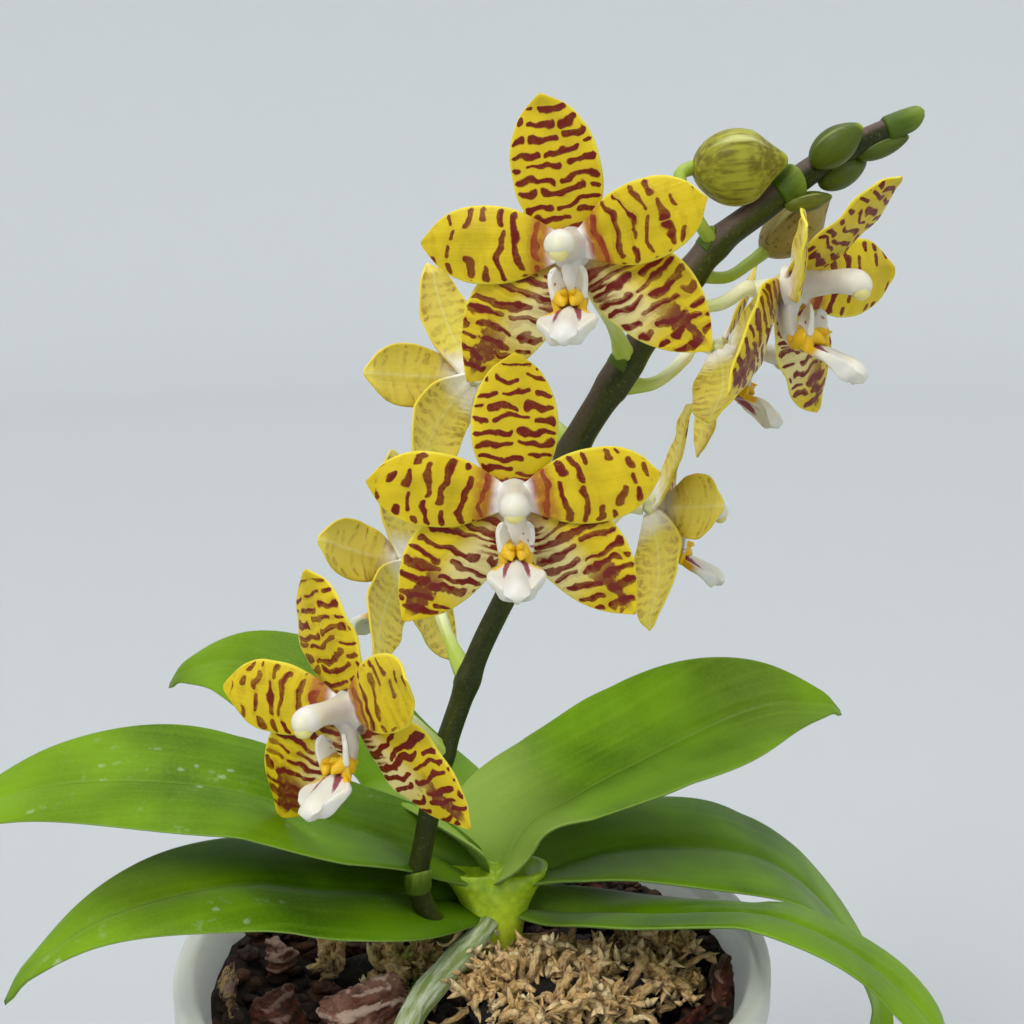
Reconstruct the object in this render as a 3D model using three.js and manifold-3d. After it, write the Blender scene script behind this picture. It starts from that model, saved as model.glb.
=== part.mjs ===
// Potted panther moth orchid: a fan of six leaves, one spike with eight barred blooms and six buds,
// standing in bark and moss in a translucent plastic pot.
// Millimetres, +Z up. The origin is the centre of the pot's underside, and the plant faces -Y.
import * as THREE from 'three';
import { mergeVertices } from 'three/addons/utils/BufferGeometryUtils.js';
import { ConvexGeometry } from 'three/addons/geometries/ConvexGeometry.js';
import Module from 'manifold-3d';

const wasm = await Module();
wasm.setup();

// Driving dimensions
const POT_HEIGHT = 108;
const RIM_RADIUS = 60;
const FOOT_RADIUS = 44;
const WALL = 1.5;
const RIM_WIDTH = 3.4;
const LIP_DROP = 7;
const MIX_TOP = POT_HEIGHT - 13;
const MIX_RELIEF = 0.6;
const CLEARANCE = 0.3;
const CROWN_AT = [4.6, 1.5];
const CROWN_RADIUS = 5.3;
const CROWN_TOP = 123;
const CROWN_DEPTH = 12;
const DRAIN_HOLES = { count: 6, radius: 4, ringRadius: 29 };
const TEPAL_THICKNESS = 0.8;
const LEAF_THICKNESS = 2.2;

// Small helpers on vectors, random draws and curves
const v3 = (x, y, z) => new THREE.Vector3(x, y, z);
const degrees = THREE.MathUtils.degToRad;
const mix = THREE.MathUtils.lerp;

function seeded(seed) {
  let state = seed;
  return () => {
    state = (state * 16807) % 2147483647;
    return state / 2147483647;
  };
}

function smoothCurve(points) {
  return new THREE.CatmullRomCurve3(points.map((p) => v3(...p)), false, 'centripetal');
}

// A value read off a list of evenly spaced knots, t from 0 to 1.
function along(knots, t) {
  const place = Math.min(t, 0.99999) * (knots.length - 1);
  const index = Math.floor(place);
  return mix(knots[index], knots[index + 1], place - index);
}

// Closed meshes
function geometryOf(vertices, triangles) {
  const geometry = new THREE.BufferGeometry();
  const places = vertices.flatMap((p) => [p.x, p.y, p.z]);
  geometry.setAttribute('position', new THREE.Float32BufferAttribute(places, 3));
  geometry.setIndex(triangles.flat());
  return geometry;
}

function signedVolume(vertices, triangles) {
  const sum = (total, [a, b, c]) => total + vertices[a].dot(vertices[b].clone().cross(vertices[c]));
  return triangles.reduce(sum, 0) / 6;
}

function solidFromTriangles(vertices, triangles) {
  const inward = signedVolume(vertices, triangles) < 0;
  const outward = inward ? triangles.map(([a, b, c]) => [a, c, b]) : triangles;
  return solidFromGeometry(geometryOf(vertices, outward));
}

function solidFromGeometry(source) {
  const geometry = source.clone();
  geometry.deleteAttribute('normal');
  geometry.deleteAttribute('uv');
  const merged = mergeVertices(geometry, 1e-4);
  const vertProperties = Float32Array.from(merged.attributes.position.array);
  const triVerts = Uint32Array.from(merged.index.array);
  return new wasm.Manifold(new wasm.Mesh({ numProp: 3, vertProperties, triVerts }));
}

function union(solids) {
  return solids.reduce((whole, next) => whole.add(next));
}

// The largest body of a solid, without the loose scraps that a cut can leave.
function whole(solid) {
  const bodies = solid.decompose().sort((a, b) => b.volume() - a.volume());
  return bodies[0];
}

function meshOf(name, solid, finish) {
  const { numProp, vertProperties, triVerts } = solid.getMesh();
  const geometry = new THREE.BufferGeometry();
  const corners = vertProperties.length / numProp;
  const positions = new Float32Array(corners * 3);
  for (let i = 0; i < corners; i += 1) {
    positions.set(vertProperties.subarray(i * numProp, i * numProp + 3), i * 3);
  }
  geometry.setAttribute('position', new THREE.BufferAttribute(positions, 3));
  geometry.setIndex(new THREE.BufferAttribute(Uint32Array.from(triVerts), 1));
  geometry.computeVertexNormals();
  const [color, roughness] = finish;
  const mesh = new THREE.Mesh(geometry, new THREE.MeshStandardMaterial({ color, roughness, metalness: 0 }));
  mesh.name = name;
  return mesh;
}

// A stack of closed rings of equal length, capped at both ends by a fan.
function loft(rings) {
  const sides = rings[0].length;
  const vertices = rings.flat();
  const triangles = [];
  for (let i = 0; i + 1 < rings.length; i += 1) {
    for (let j = 0; j < sides; j += 1) {
      const a = i * sides + j;
      const b = i * sides + ((j + 1) % sides);
      triangles.push([a, b, b + sides], [a, b + sides, a + sides]);
    }
  }
  const capAt = (ring, start, flip) => {
    const centre = ring.reduce((sum, p) => sum.add(p), v3(0, 0, 0)).divideScalar(sides);
    const hub = vertices.push(centre) - 1;
    for (let j = 0; j < sides; j += 1) {
      const a = start + j;
      const b = start + ((j + 1) % sides);
      triangles.push(flip ? [hub, b, a] : [hub, a, b]);
    }
  };
  capAt(rings[0], 0, true);
  capAt(rings.at(-1), (rings.length - 1) * sides, false);
  return solidFromTriangles(vertices, triangles);
}

// Two unit vectors square to a direction, the first as level as it can be.
function crossFrame(direction) {
  const level = v3(0, 0, 1).cross(direction);
  const across = level.length() > 1e-3 ? level.normalize() : v3(1, 0, 0);
  return [across, direction.clone().cross(across).normalize()];
}

// A round rod along a curve. Its radius is read off knots and flat squashes the section.
function rod(points, radii, { steps = 10, sides = 8, grow = 0, flat = 1 } = {}) {
  const curve = smoothCurve(points);
  let [across, up] = crossFrame(curve.getTangentAt(0));
  const rings = [];
  for (let i = 0; i <= steps; i += 1) {
    const t = i / steps;
    const centre = curve.getPointAt(t);
    const tangent = curve.getTangentAt(t);
    across = across.clone().addScaledVector(tangent, -across.dot(tangent)).normalize();
    up = tangent.clone().cross(across);
    const radius = along(radii, t) + grow;
    rings.push(Array.from({ length: sides }, (_, j) => {
      const angle = (j / sides) * Math.PI * 2;
      return centre.clone()
        .addScaledVector(across, Math.cos(angle) * radius)
        .addScaledVector(up, Math.sin(angle) * radius * flat);
    }));
  }
  return loft(rings);
}

// A thin sheet through a grid of points, given an even or a varying thickness on both faces.
function sheet(grid, thicknessAt) {
  const rows = grid.length;
  const columns = grid[0].length;
  const normalAt = (i, j) => {
    const ahead = grid[Math.min(i + 1, rows - 1)][j].clone().sub(grid[Math.max(i - 1, 0)][j]);
    const aside = grid[i][Math.min(j + 1, columns - 1)].clone().sub(grid[i][Math.max(j - 1, 0)]);
    return ahead.cross(aside).normalize();
  };
  const face = (sign) => grid.flatMap((row, i) => row.map((p, j) => {
    const thickness = thicknessAt(i / (rows - 1), j / (columns - 1));
    return p.clone().addScaledVector(normalAt(i, j), (sign * thickness) / 2);
  }));
  const vertices = [...face(1), ...face(-1)];
  const under = rows * columns;
  const at = (i, j) => i * columns + j;
  const triangles = [];
  for (let i = 0; i + 1 < rows; i += 1) {
    for (let j = 0; j + 1 < columns; j += 1) {
      const [a, b, c, d] = [at(i, j), at(i + 1, j), at(i + 1, j + 1), at(i, j + 1)];
      triangles.push([a, b, c], [a, c, d]);
      triangles.push([a + under, c + under, b + under], [a + under, d + under, c + under]);
    }
  }
  const edge = [];
  for (let j = 0; j + 1 < columns; j += 1) edge.push([at(0, j), at(0, j + 1)]);
  for (let i = 0; i + 1 < rows; i += 1) edge.push([at(i, columns - 1), at(i + 1, columns - 1)]);
  for (let j = columns - 1; j > 0; j -= 1) edge.push([at(rows - 1, j), at(rows - 1, j - 1)]);
  for (let i = rows - 1; i > 0; i -= 1) edge.push([at(i, 0), at(i - 1, 0)]);
  edge.forEach(([a, b]) => triangles.push([a, b, b + under], [a, b + under, a + under]));
  return solidFromTriangles(vertices, triangles);
}

// An egg shape between two poles, widest at peak, with a point at its far end.
function egg(base, tip, halfWidth, { peak = 0.45, blunt = 0.62, sides = 8, rings = 6 } = {}) {
  const start = v3(...base);
  const axis = v3(...tip).sub(start);
  const [across, up] = crossFrame(axis.clone().normalize());
  const sections = [];
  for (let i = 0; i < rings; i += 1) {
    const t = mix(0.03, 0.985, i / (rings - 1));
    const skew = Math.log(0.5) / Math.log(peak);
    const radius = halfWidth * Math.sin(Math.PI * t ** skew) ** blunt;
    sections.push(Array.from({ length: sides }, (_, j) => {
      const angle = (j / sides) * Math.PI * 2;
      return start.clone().addScaledVector(axis, t)
        .addScaledVector(across, Math.cos(angle) * radius)
        .addScaledVector(up, Math.sin(angle) * radius);
    }));
  }
  return loft(sections);
}

// The pot: one turned shell with a flat rim, a turned-down lip and a ring of drainage holes
function buildPot() {
  const slope = (RIM_RADIUS - RIM_WIDTH - FOOT_RADIUS) / (POT_HEIGHT - 4);
  const outer = (z) => FOOT_RADIUS + slope * z;
  const profile = [
    [0, 0], [FOOT_RADIUS - 1, 0], [FOOT_RADIUS, 1.2], [outer(POT_HEIGHT - 6), POT_HEIGHT - 6],
    [RIM_RADIUS - WALL, POT_HEIGHT - 1.5],
    [RIM_RADIUS - WALL, POT_HEIGHT - LIP_DROP], [RIM_RADIUS, POT_HEIGHT - LIP_DROP],
    [RIM_RADIUS, POT_HEIGHT - 0.8], [RIM_RADIUS - 0.8, POT_HEIGHT],
    [RIM_RADIUS - RIM_WIDTH - 0.6, POT_HEIGHT], [outer(POT_HEIGHT - 6) - WALL, POT_HEIGHT - 5],
    [FOOT_RADIUS - WALL, WALL + 1], [FOOT_RADIUS - WALL - 1, WALL], [0, WALL],
  ].map(([r, z]) => new THREE.Vector2(r, z));
  const shell = new THREE.LatheGeometry(profile, 28).rotateX(Math.PI / 2);
  const { count, radius, ringRadius } = DRAIN_HOLES;
  const holes = Array.from({ length: count }, (_, i) => {
    const angle = (i / count) * Math.PI * 2;
    const hole = new THREE.CylinderGeometry(radius, radius, 4 * WALL, 8).rotateX(Math.PI / 2);
    return solidFromGeometry(hole.translate(ringRadius * Math.cos(angle), ringRadius * Math.sin(angle), 0));
  });
  return solidFromGeometry(shell).subtract(union(holes));
}

// The potting mix: a plug with a broken top, cut for the crown and the root that stand in it
function buildMix(standing) {
  const draw = seeded(11);
  const slope = (RIM_RADIUS - RIM_WIDTH - FOOT_RADIUS) / (POT_HEIGHT - 4);
  const inner = (z) => FOOT_RADIUS + slope * z - WALL - CLEARANCE - 0.5;
  const sectors = 18;
  const ring = (radius, height, relief) => Array.from({ length: sectors }, (_, j) => {
    const angle = (j / sectors) * Math.PI * 2;
    return v3(radius * Math.cos(angle), radius * Math.sin(angle), height - relief * draw());
  });
  const low = WALL + CLEARANCE;
  const rings = [ring(FOOT_RADIUS - WALL - 2, low, 0), ring(inner(low + 4), low + 4, 0)];
  rings.push(ring(inner(MIX_TOP) - 0.3, MIX_TOP - MIX_RELIEF, 0));
  [0.86, 0.66, 0.44, 0.2].forEach((part) => rings.push(ring(inner(MIX_TOP) * part, MIX_TOP, MIX_RELIEF)));
  return loft(rings).subtract(standing);
}

// The crown: the short stem that the leaves clasp, standing in the mix
function buildCrown(grow = 0) {
  const [x, y] = CROWN_AT;
  const points = [[x, y, MIX_TOP - CROWN_DEPTH - grow], [x, y, MIX_TOP + 8], [x, y + 0.5, CROWN_TOP + grow]];
  const radii = [0.7, 0.9, 1, 1, 0.8].map((part) => part * CROWN_RADIUS);
  return rod(points, radii, { steps: 8, sides: 12, grow });
}

// Leaves: a spine from the crown to the tip, half the widest width, where it is widest, how full the
// outline is, the tilt of the blade at base, middle and tip, and how far its edges rise
const LEAVES = {
  leaf_1: {
    spine: [[0.5, 1, 120.5], [-11, 0.5, 127.5], [-28, -8, 139], [-46.5, -13.5, 148.5], [-76.5, -19, 152],
      [-101, -21, 143.5]],
    half: 18.6, peak: 0.48, full: 1.1, tilt: [25, 7, 20], rise: 0.08,
  },
  leaf_2: {
    spine: [[0, -1, 112.5], [-14, -8, 121.5], [-28.5, -15, 128], [-43, -22, 133], [-65, -36, 133.5],
      [-79.5, -43, 124.5]],
    half: 17, peak: 0.43, full: 1.07, tilt: [30, 7, 4], rise: 0.02,
  },
  leaf_3: {
    spine: [[2.5, 9, 124.5], [-6.5, 20, 128.5], [-14, 28.5, 133], [-26, 35, 142.5], [-54.5, 48, 152.5],
      [-73, 56, 146.5]],
    half: 17.5, peak: 0.44, full: 0.96, tilt: [-29, 3, 47], rise: 0.02,
  },
  leaf_4: {
    spine: [[6, 6, 124], [11.5, 8, 129], [20.5, 11, 134], [33, 14, 140], [62.5, 22, 150], [80, 27, 148]],
    half: 22, peak: 0.43, full: 0.98, tilt: [-3, 7, 32], rise: 0.24,
  },
  leaf_5: {
    spine: [[7, 3, 120.5], [17.5, 8, 120], [30.5, 10, 122.5], [58, 15, 119], [74, 18, 107],
      [88.5, 21, 82.5], [91.5, 20, 65.5]],
    half: 21.2, peak: 0.44, full: 1.2, tilt: [5, 2, 32], rise: 0.05,
  },
  leaf_6: {
    spine: [[7, 0, 111.5], [20, -7, 114.5], [34.5, -13, 120.5], [58.5, -21, 123.5], [77, -24, 114],
      [87.5, -27, 102], [88.5, -27, 89.5]],
    half: 12.6, peak: 0.48, full: 0.76, tilt: [8, -19, 17], rise: 0,
  },
};
const LEAF_BASE_HALF = 4;
const LEAF_TIP_HALF = 0.7;

function buildLeaf({ spine, half, peak, full, tilt, rise }) {
  const curve = smoothCurve(spine);
  const skew = Math.log(0.5) / Math.log(peak);
  const rows = 13;
  const columns = 5;
  const grid = Array.from({ length: rows }, (_, i) => {
    const t = i / (rows - 1);
    const centre = curve.getPointAt(t);
    const tangent = curve.getTangentAt(t);
    const level = v3(-tangent.y, tangent.x, 0).normalize();
    if (level.y < 0) level.negate();
    const lift = level.clone().cross(tangent).normalize();
    if (lift.z < 0) lift.negate();
    const angle = degrees(along(tilt, t));
    const across = level.clone().multiplyScalar(Math.cos(angle)).addScaledVector(lift, Math.sin(angle));
    const up = lift.clone().multiplyScalar(Math.cos(angle)).addScaledVector(level, -Math.sin(angle));
    const ends = LEAF_BASE_HALF * (1 - t) ** 5 + LEAF_TIP_HALF * t;
    const width = half * Math.sin(Math.PI * t ** skew) ** full + ends;
    return Array.from({ length: columns }, (__, j) => {
      const s = (2 * j) / (columns - 1) - 1;
      return centre.clone().addScaledVector(across, s * width).addScaledVector(up, rise * width * s * s);
    });
  });
  const thickness = (t, s) => LEAF_THICKNESS * (1 - 0.5 * (2 * s - 1) ** 2) * (1 - 0.45 * t);
  return sheet(grid, thickness);
}

// The spike: its run from the crown to the growing tip, and its radius at even steps along it
const SPIKE = [
  [0.5, 2, 112.5], [-4.3, -4.2, 113], [-6.4, -8.6, 116], [-8.6, -11, 121], [-10, -12, 127.5],
  [-8.5, -12.5, 137], [-6, -12, 149], [-2.5, -10.5, 160], [2, -9, 172], [6, -8, 180.5], [12.5, -7, 193],
  [21.5, -6, 213], [30.5, -5, 227], [40, -4, 240], [46.5, -4, 248], [54.5, -3, 254], [65, -2, 261.5],
  [75.5, -2, 267], [83, -2, 270],
];
const SPIKE_RADII = [2.3, 2.4, 2, 1.9, 2, 2, 2, 2, 2.2, 2.4, 2.6, 2.8, 2.8, 2.4, 2.3, 2.1, 1.6, 0.7];
const SPIKE_STEPS = 28;
const spikeRun = smoothCurve(SPIKE);

function spikeRod(grow = 0) {
  return rod(SPIKE, SPIKE_RADII, { steps: SPIKE_STEPS, sides: 6, grow });
}

// The place along the spike nearest to a point, as a share of its length
function nearestOnSpike(point) {
  const places = Array.from({ length: 161 }, (_, i) => i / 160);
  const away = (t) => spikeRun.getPointAt(t).distanceTo(point);
  return places.reduce((best, t) => (away(t) < away(best) ? t : best));
}

// A stalk's points: it springs from the middle of the spike, level with its root
function stalkRun({ root, way }) {
  return [spikeRun.getPointAt(nearestOnSpike(v3(...root))).toArray(), ...way];
}

// A pointed bract under a stalk that leaves the spike at root and goes on towards the next point
function buildBract({ root, way }, grow) {
  const start = v3(...root);
  const at = nearestOnSpike(start);
  const ahead = spikeRun.getTangentAt(at);
  const out = v3(...way[0]).sub(start).projectOnPlane(ahead).normalize();
  const radius = along(SPIKE_RADII, at);
  const place = (forward, away) => spikeRun.getPointAt(at)
    .addScaledVector(ahead, forward).addScaledVector(out, away).toArray();
  const points = [place(-5, 0.3 * radius), place(-2.6, radius + 0.2), place(0.4, radius + 2.4)];
  return rod(points, [1.9, 1.6, 0.4], { steps: 2, sides: 4, grow });
}

// Sheaths and closed bracts that sit on the spike itself: base, tip and half width
const SHEATHS = [
  { base: [-9.4, -11.9, 125], tip: [-8.4, -12.9, 134], half: 2.9 },
  { base: [60.8, -3.8, 258.6], tip: [61.8, -6, 264.6], half: 2.7 },
  { base: [75.2, -2.8, 266], tip: [82.6, -3, 269.8], half: 2.2 },
];

// Blooms: centre, the way it faces (0 to the front, 90 to the plant's right side), its tip up, its turn
// in its own plane, its size, for each tepal the change of angle and the lean towards the viewer, and
// its stalk: where that leaves the spike and the points on the way
const BLOOMS = [
  { at: [19.5, -27, 248.5], facing: -12, up: 3, turn: 4, size: 1.03,
    set: [[7, 10], [2, 1], [6, 21], [2, 0], [6, 7]],
    stalk: { root: [30, -5.5, 227.5], way: [[27.5, -11, 234], [23, -19, 242]] } },
  { at: [9.5, -31, 207.5], facing: 0, up: 4, turn: 1, size: 1.01,
    set: [[-2, 4], [-2, 8], [2, 11], [1, 4], [0, 8]],
    stalk: { root: [15.5, -7, 200.5], way: [[14.5, -14, 204], [12.5, -21, 207]] } },
  { at: [-20, -27, 169], facing: -29, up: 8, turn: 12, size: 1.08,
    set: [[6, 9], [-5, 4], [7, 23], [-3, -6], [-1, -1]],
    stalk: { root: [-5, -12, 154], way: [[-8, -15, 160], [-12.5, -19.5, 166]] } },
  { at: [57.5, -12, 240.5], facing: 54, up: 3, turn: -15, size: 1.12,
    set: [[-6, 45], [-2, 29], [10, 20], [0, 6], [8, -3]],
    stalk: { root: [42, -4.5, 233.5], way: [[46.5, -8, 237.5], [51, -10, 240.5]] } },
  { at: [50.5, 12, 227.5], facing: 89, up: -12, turn: -24, size: 0.93,
    set: [[-16, 14], [0, 9], [0, 9], [6, -4], [2, 5]],
    stalk: { root: [31, -4, 221], way: [[35.5, -1, 222.5], [42, 6, 226]] } },
  { at: [38, 14, 195.5], facing: 85, up: -4, turn: 0, size: 1.02,
    set: [[20, 13], [-8, 26], [0, 9], [-2, 2], [0, 9]],
    stalk: { root: [12, -7, 191], way: [[19, -1, 191], [28, 5, 195]] } },
  { at: [0.5, 26, 220.5], facing: -128, up: -9, turn: 1, size: 1.03,
    set: [[-5, 13], [0, 9], [1, 11], [0, 9], [5, -2]],
    stalk: { root: [20.5, -5, 211], way: [[17, 3, 214.5], [10, 13, 218]] } },
  { at: [-13.5, 24, 182], facing: -119, up: -9, turn: 14, size: 1.01,
    set: [[0, 7], [0, 9], [3, 8], [4, 3], [0, -10]],
    stalk: { root: [-0.5, -9, 168.5], way: [[-2.5, -3, 172], [-5.5, 8, 176]] } },
];
// Tepals: the angle in the bloom's plane, length, half width, where widest, fullness, and side bend
const TEPALS = [
  { angle: 90, long: 23.6, half: 7.3, peak: 0.56, full: 0.72, bend: 0 },
  { angle: 172, long: 24.4, half: 6.2, peak: 0.56, full: 0.66, bend: 0 },
  { angle: 8, long: 24.4, half: 6.2, peak: 0.56, full: 0.66, bend: 0 },
  { angle: -135, long: 27.2, half: 6.7, peak: 0.52, full: 0.74, bend: -0.06 },
  { angle: -45, long: 27.2, half: 6.7, peak: 0.52, full: 0.74, bend: 0.06 },
];
const TEPAL_BULGE = 0.05;
const TEPAL_CUP = 0.14;
const TEPAL_SETBACK = [-0.6, 0.5, 0.5, -1, -1];

// The bloom's own axes: across to its right as seen from the front, up, and out towards the viewer.
function bloomAxes({ facing, up, turn }) {
  const level = degrees(up);
  const round = degrees(facing);
  const out = v3(Math.sin(round) * Math.cos(level), -Math.cos(round) * Math.cos(level), Math.sin(level));
  const across = v3(0, 0, 1).cross(out).normalize();
  const over = out.clone().cross(across);
  const angle = degrees(turn);
  const right = across.clone().multiplyScalar(Math.cos(angle)).addScaledVector(over, Math.sin(angle));
  const top = over.clone().multiplyScalar(Math.cos(angle)).addScaledVector(across, -Math.sin(angle));
  return [right, top, out];
}

function buildTepal(bloom, index, grow) {
  const [right, top, out] = bloomAxes(bloom);
  const { angle, long, half, peak, full, bend } = TEPALS[index];
  const [shift, lean] = bloom.set[index];
  const round = degrees(angle + shift);
  const tilt = degrees(lean);
  const flat = right.clone().multiplyScalar(Math.cos(round)).addScaledVector(top, Math.sin(round));
  const ahead = flat.clone().multiplyScalar(Math.cos(tilt)).addScaledVector(out, Math.sin(tilt));
  const front = out.clone().multiplyScalar(Math.cos(tilt)).addScaledVector(flat, -Math.sin(tilt));
  const side = front.clone().cross(ahead);
  const skew = Math.log(0.5) / Math.log(peak);
  const centre = v3(...bloom.at).addScaledVector(out, TEPAL_SETBACK[index] * bloom.size);
  const stations = [0.075 - grow / long, 0.22, 0.42, 0.64, 0.85, 1];
  const grid = stations.map((t) => [-1, 0, 1].map((s) => {
    const width = half * Math.sin(Math.PI * t ** skew) ** full + 1.2 * (1 - t) ** 3 + 0.35 * t + grow;
    const rise = long * TEPAL_BULGE * Math.sin(Math.PI * t) - TEPAL_CUP * s * s * width;
    return centre.clone()
      .addScaledVector(ahead, long * t * bloom.size)
      .addScaledVector(side, (s * width + bend * long * Math.sin(Math.PI * t)) * bloom.size)
      .addScaledVector(front, rise * bloom.size);
  }));
  return sheet(grid, () => TEPAL_THICKNESS + 2 * grow);
}

// A place in a bloom, in its own axes and scaled by its size
function inBloom(bloom) {
  const [right, top, out] = bloomAxes(bloom);
  return (x, y, z) => v3(...bloom.at)
    .addScaledVector(right, x * bloom.size)
    .addScaledVector(top, y * bloom.size)
    .addScaledVector(out, z * bloom.size)
    .toArray();
}

const RECEPTACLE_BACK = -2.4;
const RECEPTACLE_FRONT = 1.5;

function buildTepals(bloom, grow = 0) {
  const place = inBloom(bloom);
  const seat = rod([place(0, 0, RECEPTACLE_BACK - grow), place(0, 0, RECEPTACLE_FRONT + grow)],
    [1.5, 2.5, 2.4], { steps: 2, sides: 7, grow });
  return union([seat, ...TEPALS.map((_, index) => buildTepal(bloom, index, grow))]);
}

// The column with its foot, and the lip that hangs from it: two upright side lobes and a mid lobe
function buildColumnAndLip(bloom) {
  const place = inBloom(bloom);
  const columnRun = [[0, 0.4, RECEPTACLE_FRONT + 0.4], [0, 0.6, 5], [0, 0.3, 9.5], [0, -0.3, 13.4]];
  const columnRadii = [2.1, 1.9, 1.8, 2.1, 2.3, 1];
  const column = rod(columnRun.map((p) => place(...p)), columnRadii, { steps: 5, sides: 6 });
  const foot = rod([place(0, 0, 3.2), place(0, -5, 3.4), place(0, -10, 3.5)], [1.6, 1.4, 1.2],
    { steps: 2, sides: 5, flat: 0.7 });
  const lobe = (sign) => sheet([0, 1].map((t) => [0, 0.5, 1].map((s) => {
    const reach = mix(2.8, 7.8, s);
    const height = mix(-9.8 - s * 1.6, -3.6 + Math.abs(s - 0.4) * 1.6, t);
    return v3(...place(sign * mix(1.1, 3.1, t ** 0.7), height, reach));
  })), () => 0.9 * bloom.size);
  const claw = [0, 0.36, 0.52, 0.7, 0.86, 1];
  const halves = [1.3, 1.4, 3, 4.8, 3.4, 0.7];
  const midLobe = sheet(claw.map((t, i) => [-1, 0, 1].map((s) => (
    v3(...place(s * halves[i], mix(-9.8, -15.7, t) + 0.9 * (1 - s * s) - 1.2 * t * t, mix(2.8, 14.3, t)))
  ))), (t) => mix(1.6, 1.1, t) * bloom.size);
  return whole(union([column, foot, lobe(1), lobe(-1), midLobe]).subtract(buildTepals(bloom, CLEARANCE)));
}

function buildPedicel(bloom, spikeClear) {
  const place = inBloom(bloom);
  const neck = [place(0, 0, RECEPTACLE_BACK - 3.5), place(0, 0, RECEPTACLE_BACK - CLEARANCE)];
  const points = [...stalkRun(bloom.stalk), ...neck];
  return whole(rod(points, [1.35, 1.15, 1.15, 1.3, 1.6], { steps: 8, sides: 7 }).subtract(spikeClear));
}

// Buds: their stalk where they have one, base and tip, and half width
const BUDS = [
  { stalk: { root: [45.5, -5.5, 248],
    way: [[43, -8, 251.5], [40.5, -8, 256], [39.5, -6, 260], [42, -4.2, 261.3], [45, -4.2, 261.5]] },
    base: [42.5, -4, 261.2], tip: [58, -5.5, 262.2], half: 6.7 },
  { stalk: { root: [45, -3, 240.5], way: [[49, 0, 241.8], [53.5, 3, 244], [56.5, 5, 245.9], [59, 5.8, 248]] },
    base: [56.4, 5.6, 245.8], tip: [68.5, 6.5, 256], half: 4.4 },
  { base: [62.8, -5.5, 261.8], tip: [70.3, -8, 268], half: 3.2 },
  { base: [65.5, -2, 258.2], tip: [73.8, 0.5, 262.4], half: 2.7 },
  { base: [59.5, -4.5, 254.6], tip: [67.3, -2.2, 256], half: 1.7 },
  { base: [72.5, -2.5, 263], tip: [80.8, -1.5, 266], half: 1.6 },
];

function buildBud({ stalk, base, tip, half }, spikeClear) {
  const body = egg(base, tip, half);
  if (!stalk) return whole(body.subtract(spikeClear));
  const stem = rod(stalkRun(stalk), [1.3, 1.1, 1.1, 1.2, 1.5], { steps: 8, sides: 6 });
  return whole(body.add(stem).subtract(spikeClear));
}

// The aerial root, from the crown over the moss into the mix
const ROOT_RUN = [
  [3.6, -1, 113.5], [1.6, -5.6, 113.2], [-1.5, -9.2, 111.3], [-4.7, -11.8, 109], [-10.8, -19.5, 105],
  [-13.5, -28, 101], [-15.5, -35, 94], [-16, -37.5, 86],
];

function buildRoot(grow = 0) {
  return rod(ROOT_RUN, [2.1, 2.6, 2.7, 2.6, 2.4, 2.3], { steps: 12, sides: 7, grow });
}

// Bark: place on the mix, size across, depth and height, turn about the vertical, tip, and a seed for
// its breaks. Each chip is set down so that its lowest corner just clears the mix.
const BARK = [
  { at: [-21, -17], size: [22, 15, 13], turn: 8, tip: 14, seed: 3 },
  { at: [-38, -14], size: [15, 12, 10], turn: -14, tip: -10, seed: 5 },
  { at: [-41, 8], size: [8, 7, 10], turn: 30, tip: 6, seed: 8 },
  { at: [-49, -8], size: [5, 22, 13], turn: 15, tip: 0, seed: 2 },
  { at: [-28, 18], size: [15, 12, 8], turn: -30, tip: 8, seed: 13 },
  { at: [39, -20], size: [18, 6, 9], turn: 33, tip: -12, seed: 21 },
  { at: [50, -6], size: [5, 22, 13], turn: -6, tip: 0, seed: 34 },
  { at: [36, 18], size: [15, 12, 8], turn: 20, tip: -8, seed: 55 },
  { at: [8, 32], size: [18, 13, 8], turn: 10, tip: 6, seed: 89 },
  { at: [-12, 41], size: [14, 11, 8], turn: -35, tip: -6, seed: 144 },
  { at: [28, 38], size: [13, 11, 7.5], turn: 50, tip: 7, seed: 233 },
  { at: [-31, -34], size: [15, 12, 8.5], turn: 42, tip: -9, seed: 377 },
  { at: [-1, -45], size: [17, 11, 8], turn: 4, tip: 8, seed: 610 },
  { at: [24, -41], size: [15, 12, 8], turn: -25, tip: -7, seed: 987 },
];

function buildChip({ at, size, turn, tip, seed }, grow = 0) {
  const draw = seeded(seed);
  const [wide, deep, high] = size;
  const points = [];
  for (let i = 0; i < 14; i += 1) {
    const angle = draw() * Math.PI * 2;
    const lift = (i % 3) - 1 + (draw() - 0.5) * 0.5;
    const reach = 0.38 + draw() * 0.12;
    points.push(v3(Math.cos(angle) * reach * wide, Math.sin(angle) * reach * deep, lift * 0.42 * high));
  }
  const chip = new ConvexGeometry(points).rotateX(degrees(tip)).rotateZ(degrees(turn));
  chip.computeBoundingBox();
  chip.translate(at[0], at[1], MIX_TOP + CLEARANCE - chip.boundingBox.min.z);
  if (grow === 0) return solidFromGeometry(chip);
  const centre = v3(at[0], at[1], MIX_TOP + high / 2);
  chip.translate(-centre.x, -centre.y, -centre.z).scale(1 + grow / wide, 1 + grow / deep, 1 + grow / high);
  return solidFromGeometry(chip.translate(centre.x, centre.y, centre.z));
}

// Moss: low mounds that stand on the mix, with curling strands out of them
const MOSS = [
  { name: 'sphagnum_main', seed: 17, mounds: [
    { at: [15, -13, 101.5], size: [21, 15, 8.5], strands: 10 },
    { at: [36, -2, 101], size: [10, 11, 6], strands: 4 },
  ] },
  { name: 'sphagnum_left', seed: 41, mounds: [{ at: [-20, 2, 100], size: [13, 6, 5], strands: 6 }] },
];

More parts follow.
